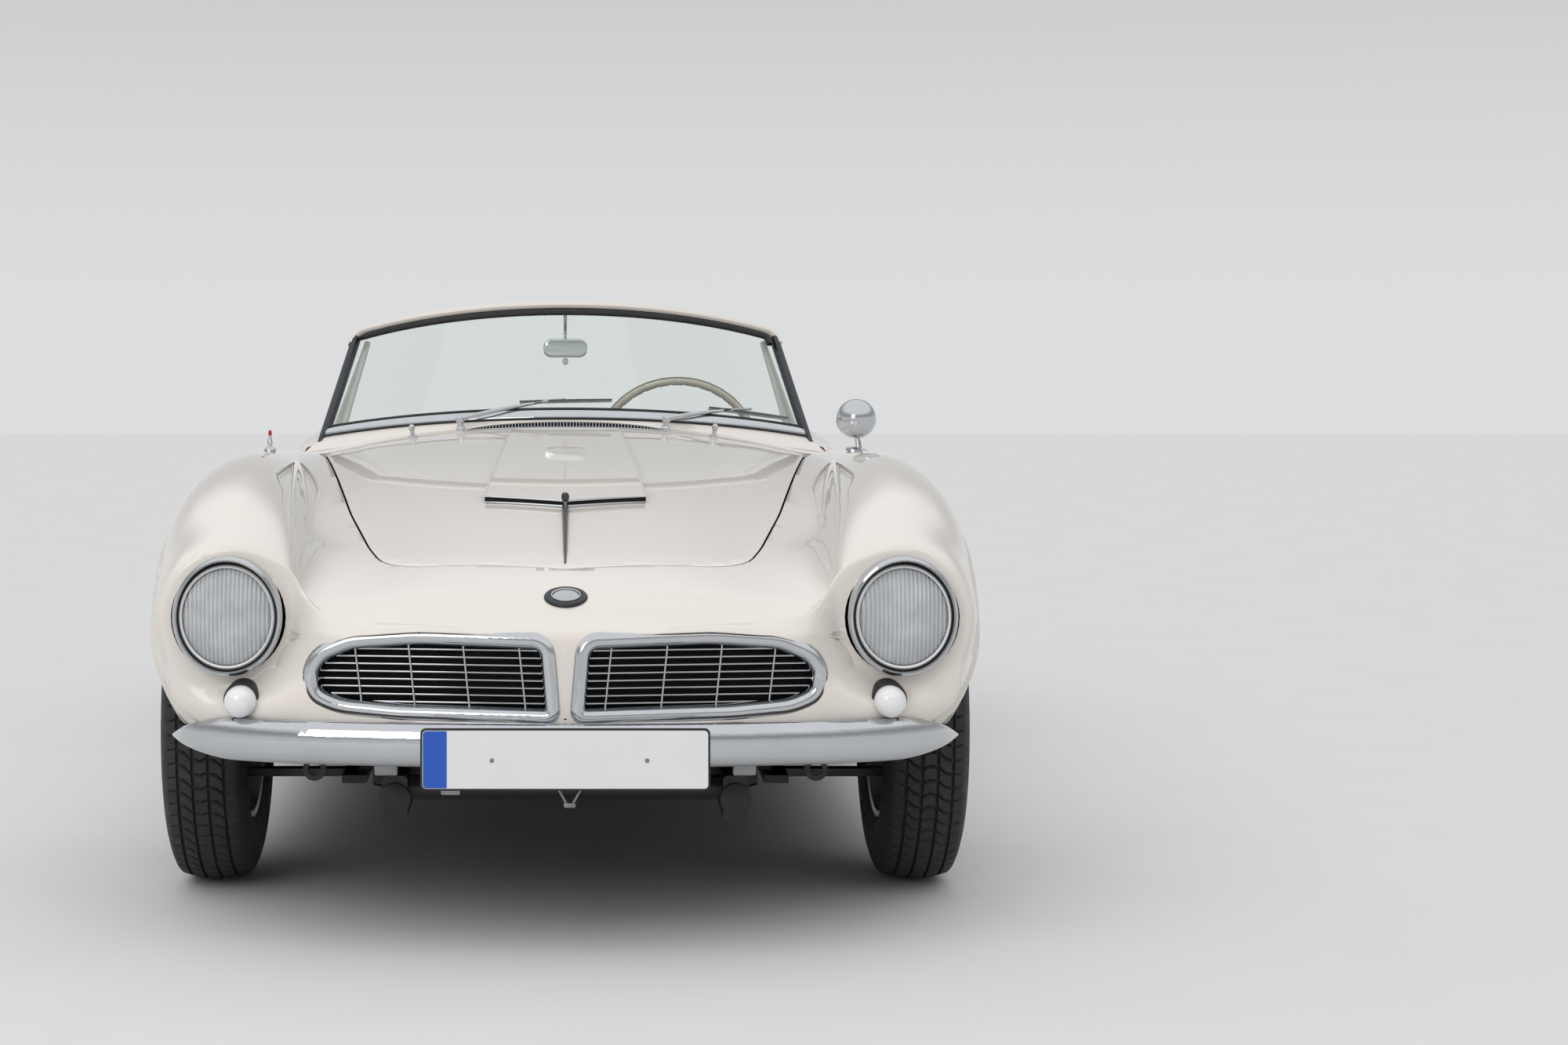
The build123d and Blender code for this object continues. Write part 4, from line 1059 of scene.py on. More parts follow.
def build_headlamps():
    place = headlamp_place()
    rim = lathe(RIM_SECTION, 96)
    for v in rim.verts:  # the rim is drawn up and forward into a small hood at its top
        radius = hypot(v.co.x, v.co.y)
        top = max(0.0, v.co.y / radius)
        v.co.z += HOOD_RISE * top**2 * (1 if v.co.z > -0.02 else 0)
        v.co.x *= RIM_SLIM
        v.co.y *= 1 + 0.02 * top
    fit_out(both_sides(moved(rim, place)), "headlamp_rims_plated", CHROME, "headlamp_rims")
    parts = (
        ("headlamp_seals", SEAL_SECTION, RUBBER, "black_paint"),
        ("headlamp_bowls", BOWL_SECTION, MIRROR_BOWL, "chrome"),
        # The bead, a plated ring, is drawn in white milk glass: painted highlight where a bright ring shows round the
        # lens.
        ("headlamp_beads_painted_highlight", BEAD_SECTION, MILK_GLASS, "chrome"),
    )
    for name, section, material, slot in parts:
        ring = lathe(section, 72)
        bmesh.ops.scale(ring, vec=(RIM_SLIM, 1, 1), verts=ring.verts)
        fit_out(both_sides(moved(ring, place)), name, material, slot=slot)
    lens = lathe(LENS_SECTION, 72)
    bmesh.ops.scale(lens, vec=(RIM_SLIM, 1, 1), verts=lens.verts)
    piece = fit_out(both_sides(moved(lens, place)), "headlamp_glasses", LAMP_GLASS, "headlamp_lenses")
    modify(piece, "SOLIDIFY", thickness=0.003, offset=-1)
    apply_modifiers(piece)
    piece.data.set_sharp_from_angle(angle=radians(35))
    bulb = lathe(mm((0, 30), (6, 28), (9, 18), (8, 8), (12, 4), (12, -10)), 24)
    shield = lathe(mm((0, 36), (11, 34), (14, 28)), 24)
    inner = moved(join(bulb, shield), place @ slide(0, 0, -0.055))
    fit_out(both_sides(inner), "headlamp_bulbs", BARE_STEEL)


INDICATOR_SPOT = (0.603, 0.452)
INDICATOR_FRONT = 0.114
TAIL_LAMP_SPOT = (0.575, 0.56)


def build_small_lamps():
    x, z = INDICATOR_SPOT
    place = facing((x, at(INDICATOR_FRONT + 0.032), z), (0.02, -1, -0.1))
    dome = lathe(mm((28.5, -4), (30, 5), (29.8, 14), (27.8, 23), (23.5, 30.5), (16.5, 36), (8.5, 39), (0, 39.7)), 48)
    base = lathe(mm((31.5, -60), (33.5, -4), (32.5, 1), (28, 2)), 48)
    fit_out(both_sides(moved(dome, place)), "indicator_domes", MILK_GLASS, "indicator_lamps")
    fit_out(both_sides(moved(base, place)), "indicator_bases", RUBBER)
    x, z = TAIL_LAMP_SPOT
    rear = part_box("tail_lamps")[1][1]
    place = facing((x, rear - 0.016, z), (0, 1, 0))
    lens = lathe(mm((29, -4), (29, 4), (24, 11), (12, 15.5), (0, 16)), 48)
    ring = lathe(mm((33, -60), (33.8, 0), (32.5, 6), (29.5, 7), (28.5, 2)), 48)
    fit_out(both_sides(moved(lens, place)), "tail_lamp_lenses", RUBY, "tail_lamps")
    fit_out(both_sides(moved(ring, place)), "tail_lamp_rings", CHROME)


# ---------------- bumpers and plates
# Cross section of a bumper: outwards and up from its middle line.
BUMPER_SECTION = mm(
    (-20, 34), (-8, 40), (3, 37.5), (12, 24), (16, 4), (13.5, -18), (5, -34), (-8, -41), (-18, -36), (-11, -18),
    (-8, 0), (-11, 18),
)
BUMPER_TAPER = 0.79  # the share of its half width out to which it keeps its full height
# Middle line of a bumper: (x, run, height).
FRONT_BUMPER = mm(
    (0, 24, 384), (200, 31, 384), (400, 56, 384), (545, 99, 383), (655, 160, 381), (728, 242, 374), (756, 330, 363)
)
REAR_BUMPER = mm(
    (0, 4364, 406), (200, 4357, 406), (400, 4336, 406), (530, 4308, 404), (630, 4262, 400), (700, 4205, 394),
    (722, 4160, 390),
)


def build_bumper(name, path, outward, node):
    half = mesh_of(wire("path", [(x, at(run), height) for x, run, height in path], 0.0, None))
    half.verts.ensure_lookup_table()
    spots = [v.co.copy() for v in half.verts]
    half.free()
    spots = [Vector((-p.x, p.y, p.z)) for p in reversed(spots[1:])] + spots
    rings = []
    for i, spot in enumerate(spots):
        along = (spots[min(i + 1, len(spots) - 1)] - spots[max(i - 1, 0)]).normalized()
        out = along.cross(upward(1)).normalized() * outward
        share = max(0.0, abs(spot.x) / spots[-1].x - BUMPER_TAPER) / (1 - BUMPER_TAPER)
        size = 1 - 0.94 * share**2.5
        rings.append([spot + out * a * size + upward(b * size) for a, b in BUMPER_SECTION])
    return fit_out(loft(rings), name, CHROME, node, sharp=50)


PLATE_HALF = 0.2625
PLATE_TALL = 0.113


def plate_outline(half, tall, corner):
    return rounded([(half, 0, corner), (half, tall, corner), (-half, tall, corner), (-half, 0, corner)], 5)


def build_plate(name, place, nodes):
    border = moved(plate_of(plate_outline(PLATE_HALF, PLATE_TALL, 0.01), 0.004, 0.001), place)
    fit_out(border, name + "_border", RUBBER, *nodes)
    rim = 0.004
    inner = plate_outline(PLATE_HALF - rim, PLATE_TALL - 2 * rim, 0.007)
    face = plate_of([p + Vector((0, rim)) for p in inner], 0.002)
    fit_out(moved(face, place @ slide(0, 0, 0.0032)), name + "_face", PLATE_WHITE)
    left, right = -PLATE_HALF + rim + 0.001, -PLATE_HALF + 0.048
    low, high = rim + 0.001, PLATE_TALL - rim - 0.001
    strip = rounded([(left, low, 0.006), (right, low, 0), (right, high, 0), (left, high, 0.006)], 4)
    fit_out(moved(plate_of(strip, 0.001), place @ slide(0, 0, 0.0048)), name + "_strip", PLATE_BLUE)
    screws = bmesh.new()
    for x in (-0.133, 0.148):
        screw = lathe(mm((4.2, 0), (4, 1.2), (2, 2), (0, 2.1)), 20)
        join(screws, moved(screw, place @ slide(x, 0.055, 0.005)))
    fit_out(screws, name + "_screws", BARE_STEEL)


def build_plates():
    front = slide(0, at(0.0095), 0.306) @ spun(90, "X")
    build_plate("front_plate", front, ("number_plates",))
    back = max(
        SKIN_TREE.ray_cast(Vector((x, 4, z)), Vector((0, -1, 0)))[0].y
        for x in (0.01, 0.12, 0.22)
        for z in (0.46, 0.5, 0.54)
    )
    rear = slide(0, back + 0.004, 0.448) @ spun(180, "Z") @ spun(90, "X")
    build_plate("rear_plate", rear, ())


# ---------------- bonnet trim, emblem, cowl fittings
LIP_RADII = [0.5, 1, 1, 1, 1.3, 1, 1, 1, 0.5]


def scoop_edge(rise, forward):
    """Points along the front edge of the air scoop, at a height over the bonnet."""
    points = []
    for share in (-0.99, -0.7, -0.35, -0.1, 0.0, 0.1, 0.35, 0.7, 0.99):
        run = 0.85 - SCOOP_SWEEP * (1 - abs(share))
        points.append(on_skin(SCOOP_HALF * share, run)[0] + Vector((0, -forward, rise)))
    return points


def build_bonnet_trim():
    spine = [on_skin(0, run)[0] for run in (0.36, 0.45, 0.55, 0.65, 0.74, 0.795)]
    widths = (0.0022, 0.0042, 0.0054, 0.0062, 0.0068, 0.0072)
    heights = (0.004, 0.009, 0.012, 0.014, 0.016, 0.019)
    rings = []
    for spot, wide, tall in zip(spine, widths, heights):
        section = [(-1, -0.5), (-1, 0.1), (-0.55, 0.75), (0, 1), (0.55, 0.75), (1, 0.1), (1, -0.5)]
        rings.append([spot + Vector((a * wide, 0, b * tall)) for a, b in section])
    spear = loft(rings)
    top = on_skin(0, 0.8)[0] + upward(0.02)
    knob = turned(mm((0, 12), (6, 10), (8.5, 4), (7.5, -10)), 24, top, (0, -0.2, 1))
    fit_out(join(spear, knob), "spear", DARKENED_CHROME, "bonnet_trim", body="bonnet_panel")
    lips = [wire("scoop_lip", scoop_edge(rise, 0.003), 0.0026, CHROME, LIP_RADII) for rise in (0.0135, 0.002)]
    for lip in lips:
        carry(lip, "bonnet_panel", "chrome")
    for side, name in ((1, "scoop_edge_left"), (-1, "scoop_edge_right")):
        bead = []
        for i in range(25):
            share = i / 24
            rise = SCOOP_RISE[0] + (SCOOP_RISE[1] - SCOOP_RISE[0]) * share
            bead.append(on_skin(side * (0.1702 - 0.0388 * share), 0.858 + 0.828 * share)[0] + upward(rise - 0.0006))
        carry(wire(name, bead, 0.0026, LACQUER), "bonnet_panel", "body_paint")
    # A near-black strip in the scoop's opening: painted shade for the dark inside of the mouth.
    rings = [
        [p + Vector((0, a, b)) for a, b in ((-0.001, 0.002), (-0.001, 0.012), (0.004, 0.012), (0.004, 0.002))]
        for p in scoop_edge(0, 0.001)
    ]
    fit_out(loft(rings), "scoop_mouth_painted_shade", BLACK_AND_PAINTED_SHADE, body="bonnet_panel")


EMBLEM_Z = 0.64
EMBLEM_R = 0.041


def build_emblem():
    spot, normal = on_nose_skin(0.0, EMBLEM_Z)
    place = facing(spot, normal)
    ring = lathe([(EMBLEM_R - inset, out) for inset, out in mm((0, -6), (0, 2), (2, 4.5), (5, 5), (14, 5.5))], 64)
    fit_out(moved(ring, place), "emblem_ring", DIAL_BLACK)
    edge = lathe(mm((27.5, 5), (27.5, 6.8), (25.5, 6.8), (25.5, 5)), 64)
    fit_out(moved(edge, place), "emblem_bead", CHROME)
    dome = lathe(mm((25.8, 4), (22, 6.8), (14, 8.8), (6, 9.6), (0, 9.7)), 64)
    fit_out(moved(dome, place), "emblem_dome", BRIGHT_STRIP, slot="chrome")


INTAKE_HALF = 0.25
INTAKE_RUN = 1.752


def intake_line(x):
    """The cowl intake at a distance from the middle: its foot, its raised crest and where its hood meets the skin."""
    open_share = sqrt(max(0.0, 1 - (x / INTAKE_HALF) ** 2))
    runs = (INTAKE_RUN, INTAKE_RUN + 0.014 * open_share, INTAKE_RUN + 0.006 + 0.034 * open_share)
    foot, crest, back = [on_skin(x, run)[0] for run in runs]
    return foot, crest + upward(0.001 + 0.012 * open_share), back


def build_cowl_fittings():
    nozzles = bmesh.new()
    for x in (-0.372, 0.363):
        spot, normal = on_skin(x, 1.765)
        body = lathe(mm((10, -4), (10, 3), (6, 6), (5.2, 16), (8, 19), (8, 26), (4, 31), (0, 32)), 24)
        join(nozzles, moved(body, facing(spot, normal)))
    fit_out(nozzles, "washer_nozzles", CHROME)
    hood, intake_painted_shadow, bars = [], [], bmesh.new()
    for i in range(41):
        x = INTAKE_HALF * (i / 20 - 1)
        foot, crest, back = intake_line(x)
        hood.append([crest, back - upward(0.001), back - upward(0.006), crest - Vector((0, -0.002, 0.0022))])
        # A near-black strip behind the bars: painted shadow inside the intake.
        inner = [foot + Vector((0, 0.003, -0.002)), crest + Vector((0, 0.0035, -0.001))]
        intake_painted_shadow.append(inner + [p + Vector((0, 0.002, -0.002)) for p in reversed(inner)])
    fit_out(loft(hood), "cowl_intake_hood", LACQUER, sharp=40)
    fit_out(loft(intake_painted_shadow), "cowl_intake_painted_shadow", BLACK_AND_PAINTED_SHADE)
    for i in range(60):
        foot, crest, _ = intake_line(0.232 * (i / 29.5 - 1))
        join(bars, rod_mesh([foot + Vector((0, 0.002, 0.0005)), crest + Vector((0, 0.0025, 0))], 0.0011))
    fit_out(bars, "cowl_grille_bars", BRIGHT_STRIP)
    rim = [intake_line(INTAKE_HALF * (i / 20 - 1))[0] + upward(0.0012) for i in range(41)]
    carry(wire("cowl_grille_rim", rim, 0.002, BRIGHT_STRIP), "car_body", "grille_metal")


# ---------------- windscreen and wipers
ScreenArc = namedtuple("ScreenArc", "half_width corner_run corner_z middle_run middle_z")
GLASS_FOOT = ScreenArc(0.609, 2.0, 0.884, 1.803, 0.934)
GLASS_HEAD = ScreenArc(0.538, 2.2, 1.147, 2.022, 1.215)
SCREEN_STEPS = 32


def bow(arc, share):
    """A point of a curved edge of the glass, from -1 at its right end to 1 at its left."""
    drop = Vector((0, arc.corner_run - arc.middle_run, arc.corner_z - arc.middle_z))
    radius = (arc.half_width**2 + drop.length**2) / (2 * drop.length)
    x = arc.half_width * share
    sag = radius - sqrt(radius**2 - x**2)
    middle = Vector((x, at(arc.middle_run), arc.middle_z))
    return middle + drop.normalized() * sag


def on_glass(share, rise, out=0.0):
    """A point of the glass, a share of the way up, moved forward by a distance."""
    foot, head = bow(GLASS_FOOT, share), bow(GLASS_HEAD, share)
    up = (head - foot).normalized()
    across = (bow(GLASS_FOOT, share + 0.02) - bow(GLASS_FOOT, share - 0.02)).normalized()
    return foot.lerp(head, rise) - up.cross(across).normalized() * -out, up, across


def shares(count, reach=1.0):
    return [reach * (2 * i / count - 1) for i in range(count + 1)]


def screen_bar(rise, section, reach=1.0, lift=0.0):
    """A bar that follows the glass at a height; its section is (forward, up)."""
    rings = []
    for share in shares(SCREEN_STEPS, reach):
        spot, up, across = on_glass(share, rise)
        forward = up.cross(across).normalized()
        rings.append([spot + forward * a + up * (b + lift) for a, b in section])
    return loft(rings)


def screen_rail(ends, section, lift):
    """A bar along the head of the glass whose ends turn down round its corners; an end is (share, rise) points."""
    head = [(share, 1.0) for share in shares(26, ends[0][0] - 0.03)]
    path = [(-share, rise) for share, rise in reversed(ends)] + head + ends
    rings = []
    for k, (share, rise) in enumerate(path):
        spot, up, across = on_glass(share, rise)
        forward = up.cross(across).normalized()
        a, b = on_glass(*path[max(0, k - 1)])[0], on_glass(*path[min(len(path) - 1, k + 1)])[0]
        outward = (b - a).normalized().cross(forward)
        outward = outward if outward.z > 0 or abs(outward.x) * share > 0 and outward.x * share > 0 else -outward
        rings.append([spot + forward * p + outward * (q + lift) for p, q in section])
    return loft(rings)


def oval(half_deep, half_tall):
    """A squarish oval section about its middle."""
    ring, steps, square = [], 12, 0.75
    for i in range(steps):
        turn = tau * i / steps
        c, s = cos(turn), sin(turn)
        ring.append((half_deep * copysign(abs(c) ** square, c), half_tall * copysign(abs(s) ** square, s)))
    return ring


def build_windscreen():
    rows = [
        [on_glass(share, rise)[0] for share in shares(SCREEN_STEPS, 0.995)] for rise in (0.0, 0.25, 0.5, 0.75, 0.99)
    ]
    pane = finish_mesh(loft(rows, closed=False), "screen_pane", SCREEN_GLASS)
    modify(pane, "SOLIDIFY", thickness=0.005, offset=0)
    apply_modifiers(pane)
    pane.data.set_sharp_from_angle(angle=radians(35))
    carry(pane, "car_body", "clear_glass", "windscreen_glass")
    ends = [(0.975, 0.998), (0.992, 0.985), (1.001, 0.962), (1.006, 0.93), (1.008, 0.895)]
    fit_out(screen_rail(ends, oval(0.015, 0.01), 0.0012), "screen_header", LACQUER, "windscreen_frame")
    ends = [(0.955, 0.998), (0.972, 0.985), (0.982, 0.962), (0.987, 0.93), (0.99, 0.88)]
    # The black band under the header is partly a real rubber seal and partly painted dark reflection of the plated
    # frame.
    fit_out(screen_rail(ends, oval(0.008, 0.01), -0.017), "screen_head_seal_painted_reflection", RUBBER)
    fit_out(screen_bar(0.0, oval(0.01, 0.0145), 1.0, 0.012), "screen_foot_strip", CHROME)
    seal = join(screen_bar(0.0, oval(0.0065, 0.005), 1.0, 0.0295), screen_bar(0.0, oval(0.0125, 0.0035), 1.0, -0.004))
    fit_out(seal, "screen_foot_seal", RUBBER)
    plinth = []
    for share in shares(SCREEN_STEPS, 1.0):
        spot, up, across = on_glass(share, 0.0)
        ahead = up.cross(across)
        ahead = Vector((ahead.x, ahead.y, 0)).normalized() * (1 if ahead.y < 0 else -1)
        section = mm((10, 0), (22, -10), (42, -20), (66, -36), (66, -60), (-14, -60), (-12, -10), (-9, 0))
        plinth.append([spot + ahead * a + upward(b) for a, b in section])
    fit_out(loft(plinth), "screen_plinth", LACQUER)
    posts, inner = bmesh.new(), bmesh.new()
    for side in (1, -1):
        foot, up, across = on_glass(side * 1.0, -0.1)
        head = on_glass(side * 1.0, 0.955)[0]
        out = across * side
        back = up.cross(across).normalized() * (1 if up.cross(across).y > 0 else -1)
        rings = [
            [spot + out * a + back * b for a, b in oval(0.01, 0.014)] for spot in (foot, foot.lerp(head, 0.5), head)
        ]
        join(posts, loft(rings))
        low, high = on_glass(side * 0.982, 0.03)[0], on_glass(side * 0.978, 0.96)[0]
        rings = [
            [spot + out * a * wide + back * (0.03 + b) for a, b in oval(0.014, 0.007)]
            for spot, wide in ((low, 1.7), (low.lerp(high, 0.5), 1.1), (high, 0.6))
        ]
        join(inner, loft(rings))
    # The posts' darkened plating is painted dark reflection: plated posts reflecting an unlit room.
    fit_out(posts, "screen_posts", DARKENED_CHROME)
    fit_out(inner, "screen_post_linings", LACQUER)


WIPERS = [
    ((-0.256, 1.792), (0.0, 0.215), (-0.19, 0.168), (0.195, 0.185)),
    ((0.246, 1.792), (0.805, 0.235), (0.605, 0.17), (0.95, 0.172)),
]


def build_wipers():
    arms, blades = bmesh.new(), bmesh.new()
    for (x, run), hold, first, last in WIPERS:
        spot, normal = on_skin(x, run)
        spindle = mm((11, -6), (11, 4), (8, 8), (8, 18), (11, 22), (10, 30), (5, 34), (0, 35))
        join(arms, turned(spindle, 24, spot, normal))
        start = spot + normal * 0.026
        end = on_glass(hold[0], hold[1], 0.02)[0]
        middle = start.lerp(end, 0.5) + Vector((0, -0.012, 0.01))
        join(arms, rod_mesh([start, start.lerp(middle, 0.4), middle, end], 0.0048, (1.4, 1.2, 0.9, 0.65)))
        a, b = on_glass(*first, 0.014)[0], on_glass(*last, 0.014)[0]
        centre = on_glass((first[0] + last[0]) / 2, (first[1] + last[1]) / 2, 0.014)[0]
        join(
            arms, rod_mesh([a.lerp(centre, 0.45), centre + Vector((0, -0.006, 0.004)), b.lerp(centre, 0.45)], 0.003),
            rod_mesh([a, centre, b], 0.0028, (0.7, 1.0, 0.7)),
        )
        a, b, centre = [
            on_glass(s, r, 0.0065)[0] for s, r in (first, last, ((first[0] + last[0]) / 2, (first[1] + last[1]) / 2))
        ]
        join(blades, rod_mesh([a, centre, b], 0.0036, (0.8, 1.0, 0.8)))
    fit_out(arms, "wiper_arms", CHROME, "wipers")
    fit_out(blades, "wiper_blades", RUBBER)


# ---------------- mirrors and aerial
CABIN_MIRROR_Z = 1.108


def build_mirrors():
    centre = Vector((0.684, at(1.5), 0.943))
    shell = lathe(mm((0, 52), (14, 50), (30, 41), (41, 26), (46, 6), (46.5, -12), (45, -16), (42, -14)), 64)
    foot, normal = on_skin(0.69, 1.5)
    stalk = rod_mesh([centre + Vector((0, 0.004, -0.04)), centre.lerp(foot, 0.6), foot], 0.007, (0.8, 0.85, 1.3))
    pad = lathe(mm((26, -4), (26, 2), (20, 6), (9, 10), (0, 11)), 32)
    bmesh.ops.scale(pad, vec=(0.75, 1.25, 1), verts=pad.verts)
    join(shell, lathe([(0.0, -0.013), (0.0435, -0.0135)], 48))
    shell = join(moved(shell, facing(centre, (0, -1, 0))), stalk, moved(pad, facing(foot, normal)))
    fit_out(shell, "wing_mirror_shell", CHROME, "wing_mirror")
    low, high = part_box("cabin_mirror")
    middle = Vector((0, (low[1] + high[1]) / 2, CABIN_MIRROR_Z))
    outline = rounded(mm((-56, -23, 20), (56, -23, 20), (56, 25, 22), (-56, 25, 22)))
    glass = moved(plate_of(outline, 0.014, 0.005), facing(middle, (0, -1, 0)))
    stem_top = on_glass(0.0, 0.97)[0]
    stem = rod_mesh(
        [middle + Vector((0, 0.006, 0.012)), middle + Vector((0, 0.012, 0.045)), stem_top], 0.0045, smooth=True
    )
    fit_out(join(glass, stem), "cabin_mirror_case", CHROME, "cabin_mirror")
    knob = turned(mm((0, 12), (6, 10), (8, 2), (5, -6)), 24, middle - upward(0.031), (0, 0, -1))
    fit_out(knob, "cabin_mirror_knob", IVORY_RESIN)


def build_aerial():
    spot = on_skin(-0.672, 1.3)[0]
    base = lathe(
        mm((13.5, -4), (13.5, 4), (10, 9), (5.5, 12), (5.5, 18), (6.5, 20), (4.5, 26), (2.8, 36), (0, 37)), 32
    )
    fit_out(moved(base, facing(spot, (0, 0, 1))), "aerial_base", CHROME, "aerial")
    tip = lathe(mm((2.6, 35), (4.2, 40), (3.6, 46), (0, 50)), 20)
    fit_out(moved(tip, facing(spot, (0, 0, 1))), "aerial_tip", RED_BEAD)


# ---------------- side trim, handles
HANDLE_Z = 0.735


def build_side_trim():
    vents, frames, handles = bmesh.new(), bmesh.new(), bmesh.new()
    x = 0.802
    for i in range(5):
        height = 0.566 + 0.016 * i
        join(vents, block((0.78, 1.397, height - 0.0025), (x + 0.002, 1.793, height + 0.0025), 0.002, 2))
    outline = mm((1392, 553), (1798, 553), (1798, 643), (1392, 643), (1392, 553))
    join(frames, rod_mesh([(x + 0.004 - 0.003 * (run > 1.6), at(run), z) for run, z in outline], 0.005, smooth=False))
    fit_out(both_sides(vents), "side_vent_blades", BRIGHT_STRIP, "side_vents")
    fit_out(both_sides(frames), "side_vent_frames", CHROME)
    # A near-black block behind the blades: painted shade inside the vent.
    painted_shade = block((0.776, 1.395, 0.557), (0.78, 1.795, 0.639))
    fit_out(both_sides(painted_shade), "side_vent_painted_shades", BLACK_AND_PAINTED_SHADE)
    x = on_flank(at(2.78), HANDLE_Z).x
    grip = bent(
        0.0065, (x, 2.835, HANDLE_Z), (x + 0.024, 2.828, HANDLE_Z), (x + 0.0285, 2.77, HANDLE_Z),
        (x + 0.024, 2.722, HANDLE_Z), (x, 2.715, HANDLE_Z),
    )
    pads = [turned(mm((14, -3), (13, 3), (0, 6)), 24, (x, at(run), HANDLE_Z), (1, 0, 0)) for run in (2.835, 2.715)]
    join(handles, grip, *pads)
    return handles


def build_handles():
    handle = build_side_trim()
    fit_out(other_side(handle), "door_handle_right", CHROME, body="right_door")
    fit_out(handle, "door_handle_left", CHROME, body="left_door")
    spot = on_skin(0.0, 3.99)[0]
    grip = rod_mesh(
        [
            spot + Vector((-0.05, 0, 0)), spot + Vector((-0.045, 0.003, 0.022)), spot + Vector((0, 0.005, 0.026)),
            spot + Vector((0.045, 0.003, 0.022)), spot + Vector((0.05, 0, 0)),
        ],
        0.006,
    )
    fit_out(grip, "boot_handle", CHROME, body="boot_panel")


# ---------------- wheels
WHEELS = [
    ("fl", "wheel_front_left", 1, TRACK_FRONT, FRONT_RUN),
    ("fr", "wheel_front_right", -1, TRACK_FRONT, FRONT_RUN),
    ("rl", "wheel_rear_left", 1, TRACK_REAR, REAR_RUN),
    ("rr", "wheel_rear_right", -1, TRACK_REAR, REAR_RUN),
]
SIPES = 72
GROOVES = (-0.046, -0.0155, 0.0155, 0.046)
GROOVE_HALF = 0.0028
GROOVE_DEEP = 0.008


def crown(across):
    """The tread's radius at a distance across the tyre: nearly flat, falling away at the shoulders."""
    return 0.3445 - 0.0118 * (across / 0.066) ** 2 - 0.002 * (across / 0.066) ** 6


def tyre_profile():
    """Half-rounded tyre with four grooves round its tread: (radius, across)."""
    side = mm((207, -60), (214, -66), (235, -78), (255, -83.5), (275, -85.5), (296, -83.5), (314, -78), (326, -72.5))
    tread = [(0.3325, -0.0665)]
    for groove in GROOVES:
        a, b = groove - GROOVE_HALF, groove + GROOVE_HALF
        tread += [(crown(a - 0.0008), a - 0.0008), (crown(a) - 0.0012, a), (crown(groove) - GROOVE_DEEP, a + 0.0008)]
        tread += [(crown(groove) - GROOVE_DEEP, b - 0.0008), (crown(b) - 0.0012, b), (crown(b + 0.0008), b + 0.0008)]
        if groove < 0.04:
            tread.append((crown(groove + 0.0155), groove + 0.0155))
    tread.append((0.3325, 0.0665))
    return side + tread + [(radius, -across) for radius, across in reversed(side)]


def cut_sipes(bm):
    """Gathers every third column of the tread into a narrow notch, slanted between the ribs."""
    pitch = tau / (SIPES * 3)
    for v in bm.verts:
        radius = hypot(v.co.x, v.co.y)
        across = abs(v.co.z)
        if radius < 0.322:
            continue
        angle = atan2(v.co.y, v.co.x) % tau
        column = round(angle / pitch)
        part = column % 3
        base = (column - part) * pitch
        rib = int((v.co.z + 0.0665) / 0.031)
        slant = 0.018 * (v.co.z / 0.0665) + 0.009 * (rib % 2)
        angle = base + slant / 0.3445 + (0, 0.0045, 0.009)[part] / 0.3445
        if part == 1 and across < 0.066:
            radius = min(radius, 0.3375 - 0.012 * (across / 0.066) ** 2)
        v.co.x, v.co.y = radius * cos(angle), radius * sin(angle)


RIM_SECTION_OUT = mm(
    (206.5, -70), (218, -72.5), (218.5, -69), (208, -66), (205, -52), (196, -38), (194, 30), (204, 50), (207, 66),
    (217.5, 69), (217.5, 73.5), (208, 74.5), (201, 71), (198, 60), (193, 50), (184, 47), (168, 49), (146, 53),
    (120, 54), (96, 49), (78, 44), (62, 48), (52, 54), (46, 56),
)
HUB_SECTION = mm((50, 46), (50, 60), (46, 66), (36, 70), (32, 82), (28, 90), (14, 94), (0, 94.5))
VENT_COUNT = 12
EAR = mm((20, 0), (26, 12), (24, 50), (14, 72), (0, 78), (-12, 68), (-16, 50), (-20, 12), (-20, 0))


def vented_disc():
    """The pressed disc with a ring of holes, left open at the faces of one band of every fourth step."""
    disc = lathe(RIM_SECTION_OUT, VENT_COUNT * 6)
    holes = []
    for face in disc.faces:
        middle = face.calc_center_median()
        radius = hypot(middle.x, middle.y)
        step = int((atan2(middle.y, middle.x) % tau) / (tau / (VENT_COUNT * 6)))
        if 0.146 < radius < 0.168 and middle.z > 0.03 and step % 6 < 3:
            holes.append(face)
    take_out(disc, holes)
    return disc


def build_wheel(name, body, side, track, run):
    place = facing((side * track / 2, at(run), TYRE_R), (side, 0, 0))
    tyre = lathe(tyre_profile(), SIPES * 3)
    cut_sipes(tyre)
    fit_out(moved(tyre, place), f"tyre_{name}_treaded", TYRE_RUBBER, f"tyre_{name}", sharp=40, body=body)
    disc = fit_out(moved(vented_disc(), place), f"wheel_disc_{name}", WHEEL_SILVER, f"rim_{name}", body=body)
    modify(disc, "SOLIDIFY", thickness=0.003, offset=-1)
    modify(disc, "BEVEL", width=0.001, segments=2, limit_method="ANGLE", angle_limit=radians(60))
    hub = lathe(HUB_SECTION, 64)
    for turn in (0, pi):
        ear = plate_of([Vector(p) for p in EAR], 0.014, 0.004)
        join(hub, moved(ear, Matrix.Rotation(turn, 4, "Z") @ slide(0, 0, 0.074)))
    fit_out(moved(hub, place), f"spinner_{name}", CHROME, body=body)


# ---------------- steering wheel and dash
WHEEL_HUB = (0.298, at(2.43), 0.836)
WHEEL_TILT = radians(25)
WHEEL_R = 0.205
NOTCHES = 34


